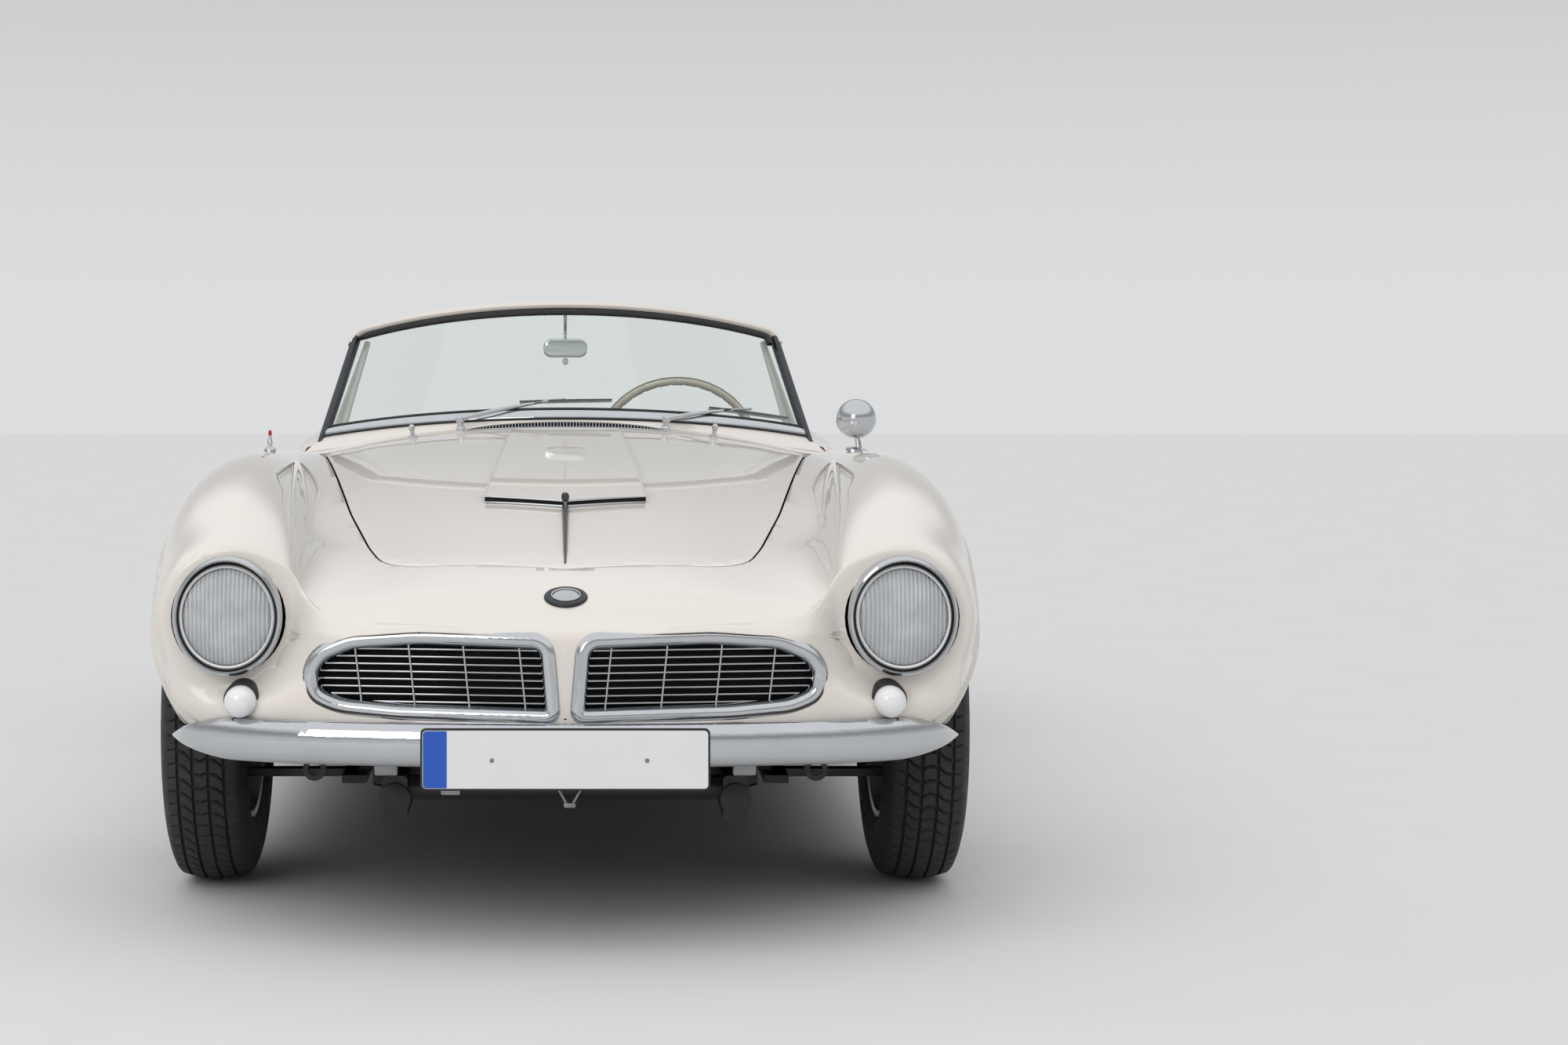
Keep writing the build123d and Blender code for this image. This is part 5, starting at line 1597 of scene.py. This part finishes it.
def build_steering_wheel():
    tip = Vector((0, cos(WHEEL_TILT), sin(WHEEL_TILT)))
    place = facing(WHEEL_HUB, tip)
    rim = bmesh.new()
    rows = []
    steps, around = NOTCHES * 6, 12
    for i in range(steps):
        turn = tau * i / steps
        notch = 0.0016 * max(0.0, cos(turn * NOTCHES)) ** 6
        row = []
        for j in range(around):
            angle = tau * j / around
            inner = max(0.0, -cos(angle))
            tube = 0.0118 - notch * (0.35 + inner)
            reach = WHEEL_R + tube * cos(angle)
            row.append(rim.verts.new((reach * cos(turn), reach * sin(turn), tube * 0.92 * sin(angle))))
        rows.append(row)
    for one, other in zip(rows, rows[1:] + rows[:1]):
        bridge(rim, one, other)
    face_out(rim)
    fit_out(moved(rim, place), "wheel_rim_ivory", IVORY_RESIN, "steering_wheel", body="hand_wheel")
    spokes = bmesh.new()
    for turn in (0.0, pi, -pi / 2):
        for offset in (-0.0065, 0.0065):
            start = Vector((cos(turn) * 0.03 - sin(turn) * offset, sin(turn) * 0.03 + cos(turn) * offset, 0.0))
            end = Vector((cos(turn) * 0.197 - sin(turn) * offset, sin(turn) * 0.197 + cos(turn) * offset, 0.0))
            middle = start.lerp(end, 0.5) + upward(-0.006)
            join(spokes, rod_mesh([start, middle, end], 0.0033))
    fit_out(moved(spokes, place), "wheel_spokes", CHROME, body="hand_wheel")
    boss = join(
        lathe(mm((26, -38), (34, -30), (43, -12), (44, 4), (40, 11), (30, 14)), 64),
        lathe(mm((29.5, 13), (20, 17), (10, 19), (0, 19.5)), 48),
    )
    fit_out(moved(boss, place), "wheel_boss", IVORY_RESIN, body="hand_wheel")
    horn = lathe(mm((10.5, -2), (10.5, 1), (0, 2)), 32)
    ring = lathe(mm((32, 12.5), (33.5, 14.5), (30.5, 16), (29, 14.5), (32, 12.5)), 64)
    fit_out(moved(join(ring, moved(horn, slide(0, 0, 0.019))), place), "wheel_horn_ring", CHROME, body="hand_wheel")


DASH_FACE = 2.1125
DASH_HALF = 0.64
KNOB_Z = 0.7
DIALS = mm((205, 758, 50), (391, 758, 50), (298, 722, 26), (0, 765, 40))


def on_dash(x, z):
    """Stands a turned part on the face of the dash."""
    return facing((x, at(DASH_FACE), z), (0, 1, 0))


def dash_brow(x):
    """The height of the dash's upper edge, which falls away towards its ends."""
    return 0.832 - 0.05 * (abs(x) / DASH_HALF) ** 2.4


def build_dash():
    rows = []
    steps = 40
    for i in range(steps + 1):
        x = DASH_HALF * (2 * i / steps - 1)
        run, brow = 2.112, dash_brow(x)
        section = [
            (2.062, brow - 0.01), (2.068, brow), (2.09, brow), (2.108, brow - 0.008), (run, brow - 0.026),
            (run, 0.69), (run - 0.004, 0.672), (2.1, 0.664), (2.062, 0.664),
        ]
        rows.append([Vector((x, at(r), z)) for r, z in section])
    fit_out(loft(rows), "dash_panel", LACQUER, "dashboard", slot="dash_paint")
    bezels, faces, marks, hands, knobs = bmesh.new(), bmesh.new(), bmesh.new(), bmesh.new(), bmesh.new()
    for n, (x, z, radius) in enumerate(DIALS):
        bezel = [(radius - inset, out) for inset, out in mm((0, -2), (0, 5), (2, 8), (5, 8), (7, 3))]
        join(bezels, moved(lathe(bezel, 64), on_dash(x, z)))
        join(faces, moved(lathe([(radius - 0.004, 0.001), (radius * 0.5, 0.0014), (0.0, 0.0014)], 48), on_dash(x, z)))
        for k in range(11):
            mark = slab((radius * 0.7, -0.0007, 0.0014), (radius * 0.82, 0.0007, 0.0021))
            join(marks, moved(mark, on_dash(x, z) @ spun(-210 + 24 * k, "Z")))
        hand = slab((-radius * 0.15, -0.0008, 0.0024), (radius * 0.66, 0.0008, 0.0034))
        join(
            hands, moved(hand, on_dash(x, z) @ spun(-200 + 17 * n, "Z")),
            moved(lathe(mm((4, 2), (4, 4.2), (0, 4.8)), 20), on_dash(x, z)),
        )
    for x in (-0.1, -0.05, 0.055, 0.105, 0.47, 0.52):
        join(bezels, moved(lathe(mm((8, 0), (8, 3), (3.5, 4), (3.5, 16)), 24), on_dash(x, KNOB_Z)))
        join(knobs, moved(lathe(mm((4, 15), (9, 17), (9.5, 24), (6, 28), (0, 29)), 24), on_dash(x, KNOB_Z)))
    lid = mm((-150, 0), (150, 0), (150, 90), (-150, 90), (-150, 0))
    seam = [Vector((-0.36 + a, at(DASH_FACE), 0.7 + b)) for a, b in lid]
    join(
        bezels, rod_mesh(seam, 0.0016, smooth=False),
        bent(
            0.003, (-0.6, DASH_FACE + 0.001, 0.682), (0.0, DASH_FACE + 0.001, 0.682), (0.6, DASH_FACE + 0.001, 0.682)
        ),
    )
    fit_out(bezels, "dash_bezels", CHROME)
    fit_out(faces, "dash_dial_faces", DIAL_BLACK)
    fit_out(marks, "dash_dial_marks", PLATE_WHITE)
    fit_out(hands, "dash_dial_hands", RED_BEAD)
    fit_out(knobs, "dash_knobs", IVORY_RESIN)


# ---------------- seats
SEAT_X = 0.345
CUSHION_CAP = 0.024
PLEAT_PITCH = 0.046
SEWN_ABOVE = 0.015  # the channels are pressed into the upper face alone


def sew(piece, pitch, half_across, along, depth):
    """Presses the sewn channels into the padded face."""
    for vertex in piece.data.vertices:
        co = vertex.co
        if co.z < SEWN_ABOVE or abs(co.x) > half_across or not along[0] < co.y < along[1]:
            continue
        offset = (co.x / pitch) % 1.0
        near = min(offset, 1 - offset) * pitch
        fade = min(1.0, (half_across - abs(co.x)) / 0.02, (co.y - along[0]) / 0.03, (along[1] - co.y) / 0.03)
        vertex.co.z -= depth * fade * exp(-((near / 0.006) ** 2))


def swollen(start, cap):
    """A copy of a shape, remeshed and blown up from inside by a cloth simulation."""
    piece = in_scene(start.name + "_swollen", start.data.copy())
    bpy.data.objects.remove(start)
    modify(piece, "REMESH", mode="VOXEL", voxel_size=0.0085)
    apply_modifiers(piece)
    rest = [v.co.copy() for v in piece.data.vertices]
    cloth = piece.modifiers.new("Cloth", "CLOTH")
    cloth.settings.use_pressure = True
    cloth.settings.uniform_pressure_force = 4
    cloth.settings.effector_weights.gravity = 0
    scene = bpy.context.scene
    for frame_number in range(1, 21):
        scene.frame_set(frame_number)
    apply_modifiers(piece)
    scene.frame_set(1)
    for vertex, was in zip(piece.data.vertices, rest):
        shift = vertex.co - was
        if shift.length > cap:
            vertex.co = was + shift.normalized() * cap
    return piece


def finish_pad(piece, name, place):
    piece.data.transform(place)
    piece.name = name
    piece.data.materials.clear()
    piece.data.materials.append(LEATHER)
    piece.data.shade_smooth()
    return piece


def pad_pair(shape, name, place, nodes):
    """One padded shape, simulated once, standing on both seats."""
    modify(shape, "SUBSURF", levels=1, render_levels=1)
    apply_modifiers(shape)
    sew(shape, PLEAT_PITCH, 0.17, SEWN[name], 0.0075)
    shape.data.update()
    twin = in_scene(name, shape.data.copy())
    for pad, side, label in ((shape, 1, "left"), (twin, -1, "right")):
        finish_pad(pad, f"{name}_{label}", slide(side * SEAT_X, 0, 0) @ place)
        carry(pad, "car_body", "seat_leather", *(nodes if side == 1 else ()))


SEWN = {"seat_cushion": (-0.2, 0.19), "seat_back": (-0.135, 0.145)}
BACK_LEAN = radians(17)


def build_seats():
    bm = plate_of(rounded(mm((-206, -205, 50), (206, -205, 50), (206, 215, 40), (-206, 215, 40))), 0.118, 0.034)
    cushion = swollen(finish_mesh(moved(bm, slide(0, 0, -0.059)), "cushion_start", LEATHER), CUSHION_CAP)
    place = slide(0, at(2.765), 0.362) @ spun(-3.5, "X")
    pad_pair(cushion, "seat_cushion", place, ("seats",))
    bm = plate_of(rounded(mm((-204, -200, 30), (204, -200, 30), (196, 170, 90), (-196, 170, 90))), 0.07, 0.028)
    back = swollen(finish_mesh(moved(bm, slide(0, 0, -0.035)), "back_start", LEATHER), CUSHION_CAP)
    place = slide(0, at(3.032), 0.636) @ Matrix.Rotation(radians(90) - BACK_LEAN, 4, "X")
    pad_pair(back, "seat_back", place, ())
    rails = bmesh.new()
    for side in (1, -1):
        for x in (-0.15, 0.15):
            join(
                rails,
                block((side * SEAT_X + x - 0.012, 2.56, 0.214), (side * SEAT_X + x + 0.012, 3.0, 0.236), 0.003, 2),
            )
        join(rails, block((side * SEAT_X - 0.18, 2.57, 0.236), (side * SEAT_X + 0.18, 2.98, 0.296), 0.02, 4))
    fit_out(rails, "seat_pans", BLACK_ENAMEL)


# ---------------- door insides and cockpit edge
CARD_X = 0.69


def door_core():
    """The door behind its skin: its frame follows the skin's inside from sill to waist."""
    rings = []
    count = 22
    for i in range(count + 1):
        run = DOOR_FRONT + 0.006 + (DOOR_REAR - DOOR_FRONT - 0.012) * i / count
        ring = []
        for z in (0.312, 0.36, 0.42, 0.48, 0.54, 0.6, 0.66, 0.72, 0.76, 0.785):
            hit = on_flank(at(run), z)
            ring.append(Vector((max(CARD_X + 0.01, hit.x - 0.009) if hit else 0.78, at(run), z)))
        for x in (0.765, 0.745, 0.725, 0.705, 0.69):
            ring.append(Vector((x, at(run), on_skin(x, run)[0].z - 0.009)))
        low = ring[-1].z
        ring += [Vector((CARD_X, at(run), z)) for z in (low - 0.05, 0.62, 0.5, 0.4, 0.312)]
        rings.append(ring)
    return loft(rings)


def on_door(x, y, z):
    """Stands a flat plate upright along the door, facing the seats."""
    return Matrix(((0, 0, -1, x), (1, 0, 0, y), (0, 1, 0, z), (0, 0, 0, 1)))


def door_card():
    """The padded leather board on the inside of the door; its pocket is joined on afterwards."""
    front, rear = DOOR_FRONT + 0.02, DOOR_REAR - 0.02
    outline = rounded([(front, 0.335, 0.04), (rear, 0.335, 0.04), (rear, 0.725, 0.03), (front, 0.725, 0.03)])
    board = plate_of([Vector((p.x - LENGTH / 2, p.y)) for p in outline], 0.01, 0.004)
    return moved(board, on_door(CARD_X + 0.002, 0, 0))


def build_door_insides():
    core, card = door_core(), door_card()
    trim = bent(0.003, (CARD_X - 0.009, 2.1, 0.56), (CARD_X - 0.009, 2.84, 0.56))
    grip = bent(
        0.007, (CARD_X - 0.008, 2.34, 0.64), (CARD_X - 0.034, 2.36, 0.64), (CARD_X - 0.036, 2.47, 0.64),
        (CARD_X - 0.034, 2.57, 0.64), (CARD_X - 0.008, 2.59, 0.64),
    )
    crank = join(
        turned(mm((20, 0), (20, 4), (9, 8), (9, 20), (0, 22)), 32, (CARD_X - 0.008, at(2.26), 0.58), (-1, 0, 0)),
        bent(0.0045, (CARD_X - 0.026, 2.26, 0.58), (CARD_X - 0.032, 2.3, 0.545), (CARD_X - 0.032, 2.33, 0.515)),
        turned(mm((18, 0), (18, 4), (8, 8), (0, 10)), 32, (CARD_X - 0.008, at(2.74), 0.64), (-1, 0, 0)),
        bent(0.0045, (CARD_X - 0.016, 2.74, 0.64), (CARD_X - 0.02, 2.7, 0.636), (CARD_X - 0.018, 2.66, 0.628)),
    )
    join(trim, grip, crank)
    outline = rounded(mm((-200, -85, 30), (200, -85, 30), (200, 60, 20), (-200, 60, 20)))
    pocket = plate_of(outline, 0.016, 0.006)
    join(card, moved(pocket, on_door(CARD_X - 0.007, at(2.56), 0.445)))
    knob = turned(mm((5, 0), (9, 6), (8, 16), (0, 19)), 24, (CARD_X - 0.03, at(2.33), 0.515), (-1, 0, 0))
    for side, make in (("left", lambda bm: bm.copy()), ("right", other_side)):
        body = side + "_door"
        fit_out(make(core), f"door_frame_{side}", LACQUER, body=body)
        fit_out(make(card), f"door_card_{side}", LEATHER, body=body)
        fit_out(make(trim), f"door_furniture_{side}", CHROME, body=body)
        fit_out(make(knob), f"door_crank_knob_{side}", IVORY_RESIN, body=body)
    for bm in (core, card, trim, knob):
        bm.free()


ROLL_R = 0.013


def roll_point(x, run):
    """A point of the padded edge, just inside the cockpit opening and level with the skin beside it."""
    toward = Vector((x, run - COCKPIT_MIDDLE))
    away = toward.normalized()
    outer = Vector((x, run)) + away * 0.008
    spot = on_skin(outer.x, outer.y)[0]
    inner = Vector((x, run)) - away * 0.006
    return Vector((inner.x, at(inner.y), spot.z + 0.001))


def build_cockpit_roll():
    rear = [p for p in rounded(COCKPIT, steps=14) if p.y > 2.86 and p.x > -0.001]
    half = [Vector((COCKPIT_SIDE, run)) for run in (2.889, 2.93, 2.96)]
    corner = [p for p in rear if 0.01 < p.x < 0.6549 and p.y > 2.99]
    corner.sort(key=lambda p: atan2(p.x, p.y - COCKPIT_MIDDLE), reverse=True)
    half += corner + [Vector((x, COCKPIT_BACK)) for x in (0.4, 0.3, 0.2, 0.1)]
    whole = [roll_point(p.x, p.y) for p in half]
    whole += [roll_point(0.0, COCKPIT_BACK)] + [Vector((-p.x, p.y, p.z)) for p in reversed(whole)]
    fit_out(rod_mesh(whole, ROLL_R, smooth=False), "cockpit_roll_rear", LEATHER)
    door = [roll_point(COCKPIT_SIDE, 2.061 + (2.879 - 2.061) * i / 16) for i in range(17)]
    left = rod_mesh(door, ROLL_R, smooth=False)
    fit_out(other_side(left), "door_roll_right", LEATHER, body="right_door")
    fit_out(left, "door_roll_left", LEATHER, body="left_door")


# ---------------- under the nose, and the solids that stay
def build_under_nose():
    brackets = bmesh.new()
    join(brackets, block((-0.228, 0.06, 0.289), (-0.192, 0.075, 0.352), 0.003, 2))
    for side in (1, -1):
        join(
            brackets,
            bent(
                0.0028, (0.008 + side * 0.026, 0.03, 0.316), (0.008 + side * 0.006, 0.03, 0.28),
                (0.008 + side * 0.004, 0.03, 0.276),
            ),
        )
    join(brackets, block((-0.003, 0.024, 0.272), (0.019, 0.036, 0.281), 0.002, 2))
    for side in (1, -1):
        join(
            brackets, block((side * 0.33 - 0.022, 0.09, 0.32), (side * 0.33 + 0.022, 0.112, 0.352), 0.004, 2),
            bent(0.009, (side * 0.305, 0.1, 0.352), (side * 0.355, 0.1, 0.352), smooth=False),
        )
    fit_out(brackets, "nose_brackets", BARE_STEEL)
    pipes = bmesh.new()
    for side in (1, -1):
        join(
            pipes,
            bent(
                0.008, (side * 0.56, 0.25, 0.35), (side * 0.48, 0.2, 0.335), (side * 0.42, 0.22, 0.342),
                (side * 0.36, 0.26, 0.35),
            ),
        )
        eye = turned(
            mm((22, -4), (22, 4), (12, 4), (12, -4), (22, -4)), 32, (side * 0.47, at(0.19), 0.318), (0, 1, 0)
        )
        join(pipes, eye)
    fit_out(pipes, "nose_tow_eyes", BLACK_ENAMEL)


FRAME_RAIL = mm((325, 275, 248), (325, 500, 248), (352, 840, 240), (385, 1345, 212))


def build_front_frame():
    """The frame's front: two box rails that spread rearward, a tube between their horns and a cross member."""
    rails = bmesh.new()
    box = rounded(mm((-24, -44, 9), (24, -44, 9), (24, 44, 9), (-24, 44, 9)), 3)
    for side in (1, -1):
        join(rails, loft([[Vector((side * x + p.x, at(run), z + p.y)) for p in box] for x, run, z in FRAME_RAIL]))
        horn = lathe(mm((30, -4), (30, 6), (12, 10), (0, 10)), 32)
        join(rails, moved(horn, facing((side * 0.325, at(0.272), 0.248), (0, -1, 0))))
    join(rails, bent(0.024, (-0.345, 0.33, 0.262), (0.0, 0.33, 0.262), (0.345, 0.33, 0.262)))
    cross = [
        [Vector((x, at(0.81 + p.x * 2.2), z + p.y * 0.8)) for p in box]
        for x, z in ((-0.4, 0.232), (-0.3, 0.208), (0.0, 0.202), (0.3, 0.208), (0.4, 0.232))
    ]
    join(rails, loft(cross))
    face_out(rails)
    fit_out(rails, "front_frame_rails", BLACK_ENAMEL, "front_frame")


def lowered_copy(node, clear):
    """A copy of a solid whose points keep a distance under the skin."""
    bm = bmesh.new()
    bm.from_mesh(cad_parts[node].data)
    bmesh.ops.remove_doubles(bm, verts=bm.verts, dist=1e-5)
    bmesh.ops.subdivide_edges(bm, edges=[e for e in bm.edges if e.calc_length() > 0.12], cuts=2, use_grid_fill=True)
    for v in bm.verts:
        hit = SKIN_TREE.ray_cast(Vector((max(abs(v.co.x), OFF_SEAM), v.co.y, 2)), upward(-1))[0]
        if hit and v.co.z > hit.z - clear and v.co.z > 0.5:
            v.co.z = hit.z - clear
        hit = on_flank(v.co.y, v.co.z)
        if hit and abs(v.co.x) > hit.x - clear / 2:
            v.co.x = copysign(hit.x - clear / 2, v.co.x)
    return bm


def build_scuttle():
    """The tray under the bonnet's rear edge, the hide over the dash, and the treads between floor and sill."""
    rings = []
    for i in range(31):
        x = 0.62 * (i / 15 - 1)
        top = [on_skin(x, run)[0] - upward(drop) for run, drop in ((1.502, 0.034), (1.62, 0.032), (1.735, 0.01))]
        rings.append(top + [p - upward(0.004) for p in reversed(top)])
    fit_out(loft(rings), "scuttle_tray", BLACK_ENAMEL, sharp=40)
    rings = []
    for i in range(31):
        x = 0.632 * (i / 15 - 1)
        fore, edge = on_skin(x, 1.9)[0] - upward(0.012), on_skin(x, 1.985)[0] - upward(0.016)
        back = Vector((x, at(2.07), dash_brow(x) + 0.002))
        top = [fore, edge, edge.lerp(back, 0.45) + upward(0.01), edge.lerp(back, 0.8) + upward(0.006), back]
        rings.append(top + [p - upward(0.005) for p in reversed(top)])
    fit_out(loft(rings), "dash_top_hide", DARK_LEATHER, sharp=50)
    treads = join(
        slab((0.686, at(1.512), 0.283), (0.787, at(DOOR_REAR) - 0.002, 0.291), 0.003, 2),
        slab((0.684, at(1.512), 0.218), (0.69, at(DOOR_REAR) - 0.002, 0.289), 0.002, 2),
    )
    fit_out(both_sides(treads), "sill_treads", LACQUER)
    ribs = bmesh.new()
    for k in range(6):
        join(
            ribs,
            slab(
                (0.704 + 0.012 * k, at(DOOR_FRONT) + 0.06, 0.29), (0.709 + 0.012 * k, at(DOOR_REAR) - 0.06, 0.2935),
                0.0014, 2,
            ),
        )
    fit_out(both_sides(ribs), "sill_tread_ribs", RUBBER)


BANK = 45  # degrees from upright


def build_engine():
    """The eight-cylinder engine: crankcase, two heads with ribbed covers, manifolds, air cleaner, fan and gearbox."""
    castings = join(
        block((-0.12, 0.68, 0.4), (0.12, 1.236, 0.52), 0.014, 3),
        block((-0.088, 0.72, 0.336), (0.088, 1.2, 0.405), 0.02, 3),
        block((-0.06, 0.655, 0.43), (0.06, 0.69, 0.6), 0.012, 3),
        turned(mm((100, 0), (100, 30), (86, 90), (72, 130)), 48, (0, at(1.236), 0.335), (0, 1, 0)),
        block((-0.078, 1.34, 0.25), (0.078, 1.49, 0.41), 0.024, 3),
        block((-0.048, 0.73, 0.535), (0.048, 1.19, 0.585), 0.012, 3),
    )
    covers = bmesh.new()
    exhausts = bmesh.new()
    for side in (1, -1):
        lean = slide(side * 0.095, 0, 0.5) @ spun(side * BANK, "Y")
        join(castings, moved(block((-0.058, 0.7, -0.03), (0.058, 1.22, 0.07), 0.008, 2), lean))
        join(covers, moved(block((-0.048, 0.712, 0.07), (0.048, 1.208, 0.112), 0.02, 4), lean))
        for k in range(-3, 4):
            join(
                covers,
                moved(block((k * 0.011 - 0.002, 0.74, 0.108), (k * 0.011 + 0.002, 1.18, 0.1155), 0.0015, 1), lean),
            )
        for run in (0.75, 0.89, 1.03, 1.17):
            join(
                exhausts,
                bent(0.017, (side * 0.14, run, 0.455), (side * 0.172, run, 0.428), (side * 0.184, run + 0.01, 0.4)),
            )
        join(
            exhausts, bent(0.02, (side * 0.18, 0.74, 0.402), (side * 0.182, 0.95, 0.398), (side * 0.176, 1.19, 0.38))
        )
    fit_out(castings, "engine_castings", CAST_ALLOY, "engine_and_gearbox", sharp=40)
    fit_out(covers, "rocker_covers", CAST_ALLOY, sharp=40)
    fit_out(exhausts, "exhaust_manifolds", CAST_IRON)
    drum = mm((0, 58), (14, 57), (20, 52), (120, 50), (130, 44), (131, 8), (126, 0), (50, -4), (44, -22), (0, -22))
    cleaner = join(
        moved(lathe(drum, 72), slide(0, at(0.93), 0.6)),
        bent(0.024, (0.0, 0.82, 0.625), (0.03, 0.76, 0.628), (0.07, 0.7, 0.622)),
    )
    fit_out(cleaner, "air_cleaner", BLACK_ENAMEL, sharp=40)
    fan_place = facing((0, at(0.64), 0.5), (0, -1, 0))
    fan = moved(lathe(mm((0, 12), (40, 10), (44, 0), (44, -30), (0, -30)), 36), fan_place)
    for k in range(5):
        blade = slab((0.03, -0.024, -0.002), (0.15, 0.024, 0.001), 0.001, 1)
        turn = Matrix.Rotation(tau * k / 5, 4, "Z") @ spun(24, "X")
        join(fan, moved(blade, fan_place @ turn))
    fit_out(fan, "cooling_fan", BARE_STEEL, sharp=40)
    hoses = join(
        bent(0.021, (0.0, 0.425, 0.6), (0.0, 0.52, 0.612), (0.0, 0.6, 0.6), (0.0, 0.668, 0.58)),
        bent(0.021, (0.16, 0.425, 0.38), (0.15, 0.55, 0.376), (0.1, 0.66, 0.42), (0.05, 0.69, 0.45)),
        bent(
            0.005, (0.0, 0.647, 0.546), (0.1, 0.647, 0.47), (0.0, 0.647, 0.386), (-0.046, 0.647, 0.47),
            (0.0, 0.647, 0.546),
        ),
    )
    fit_out(hoses, "coolant_hoses", RUBBER)


SOLID_FINISHES = {
    "cabin_floor": CARPET,
    "boot_floor": BLACK_ENAMEL,
    "steering_column": BLACK_ENAMEL,
    "side_rails": BLACK_ENAMEL,
    "rear_frame": BLACK_ENAMEL,
    "front_suspension": BLACK_ENAMEL,
    "rear_axle": CAST_IRON,
    "radiator": BLACK_ENAMEL,
    "exhaust": BARE_STEEL,
    "knuckle_left": BARE_STEEL,
    "knuckle_right": BARE_STEEL,
}


def dress_solids():
    fit_out(lowered_copy("inner_wings", 0.014), "wing_liners", BLACK_AND_PAINTED_SHADE, "inner_wings", sharp=30)
    for node, material in SOLID_FINISHES.items():
        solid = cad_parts[node]
        for index in range(max(1, len(solid.material_slots))):
            if solid.material_slots:
                solid.material_slots[index].material = material
            else:
                solid.data.materials.append(material)


build_grilles()
build_headlamps()
build_small_lamps()
build_bumper("front_bumper_plated", FRONT_BUMPER, 1, "front_bumper")
build_bumper("rear_bumper_plated", REAR_BUMPER, -1, "rear_bumper")
build_plates()
build_bonnet_trim()
build_emblem()
build_cowl_fittings()
build_windscreen()
build_wipers()
build_mirrors()
build_aerial()
build_handles()
for wheel in WHEELS:
    build_wheel(*wheel)
build_steering_wheel()
build_dash()
build_door_insides()
build_cockpit_roll()
build_under_nose()
build_front_frame()
build_scuttle()
build_engine()
build_seats()
dress_solids()


# ---------------- room, light and camera
CAMERA_BACK = 5.0  # from the foremost point of the car
CAMERA_HEIGHT = 1.1


def stage_room():
    material, shader, place = new_material("studio_floor")
    tint = mix_colours(noise(place, 3.0), "#D0D0CF", "#D5D5D4")
    set_inputs(shader, Base_Color=tint, Roughness=0.9)
    bm = bmesh.new()
    bmesh.ops.create_grid(bm, x_segments=8, y_segments=8, size=30.0)
    floor = finish_mesh(bm, "floor", material)


def soft_light(name, place, target, size, power):
    data = bpy.data.lights.new(name, "AREA")
    data.shape, data.size, data.energy = "SQUARE", size, power
    lamp = in_scene(name, data)
    aim = (Vector(target) - Vector(place)).to_track_quat("-Z", "Y")
    lamp.matrix_world = slide(*place) @ aim.to_matrix().to_4x4()


def light_room():
    world = bpy.data.worlds.new("studio")
    bpy.context.scene.world = world
    world.use_nodes = True
    tree = world.node_tree
    ground = tree.nodes["Background"]
    toward = add_node(tree, "ShaderNodeTexCoord").outputs["Generated"]
    height = add_node(tree, "ShaderNodeSeparateXYZ", Vector=toward).outputs["Z"]

    def ramp(start, end, low, high):
        smooth = {"interpolation_type": "SMOOTHSTEP"}
        node = add_node(tree, "ShaderNodeMapRange", smooth, Value=height, _1=start, _2=end, _3=low, _4=high)
        return node.outputs["Result"]

    dim, lift = ramp(0.0, 0.32, 0.78, 0.42), ramp(0.3, 0.62, 0.0, 0.62)
    glow = add_node(tree, "ShaderNodeMath", {"operation": "ADD"}, _0=dim, _1=lift)
    set_inputs(ground, Color=linear("#F6F7F8"), Strength=glow.outputs[0])
    sun = bpy.data.lights.new("sky_panel", "SUN")
    sun.energy, sun.angle = 0.8, radians(75)
    lamp = in_scene("sky_panel", sun)
    lamp.rotation_euler = (radians(36), radians(-14), 0)
    lamp.visible_glossy = False
    soft_light("front_soft", (-2.6, -6.5, 3.0), (0, -1.2, 0.5), 2.6, 45)


def aim_camera():
    data = bpy.data.cameras.new("camera")
    data.sensor_width = 36.0
    data.lens = 63.54
    data.shift_x, data.shift_y = 0.1395, -0.1088
    data.clip_end = 100
    camera = in_scene("camera", data)
    camera.location = (0, at(0) - CAMERA_BACK, CAMERA_HEIGHT)
    camera.rotation_euler = (radians(90), 0, 0)
    bpy.context.scene.camera = camera


stage_room()
light_room()
aim_camera()
bpy.context.scene.view_settings.view_transform = "Standard"
bpy.context.view_layer.update()
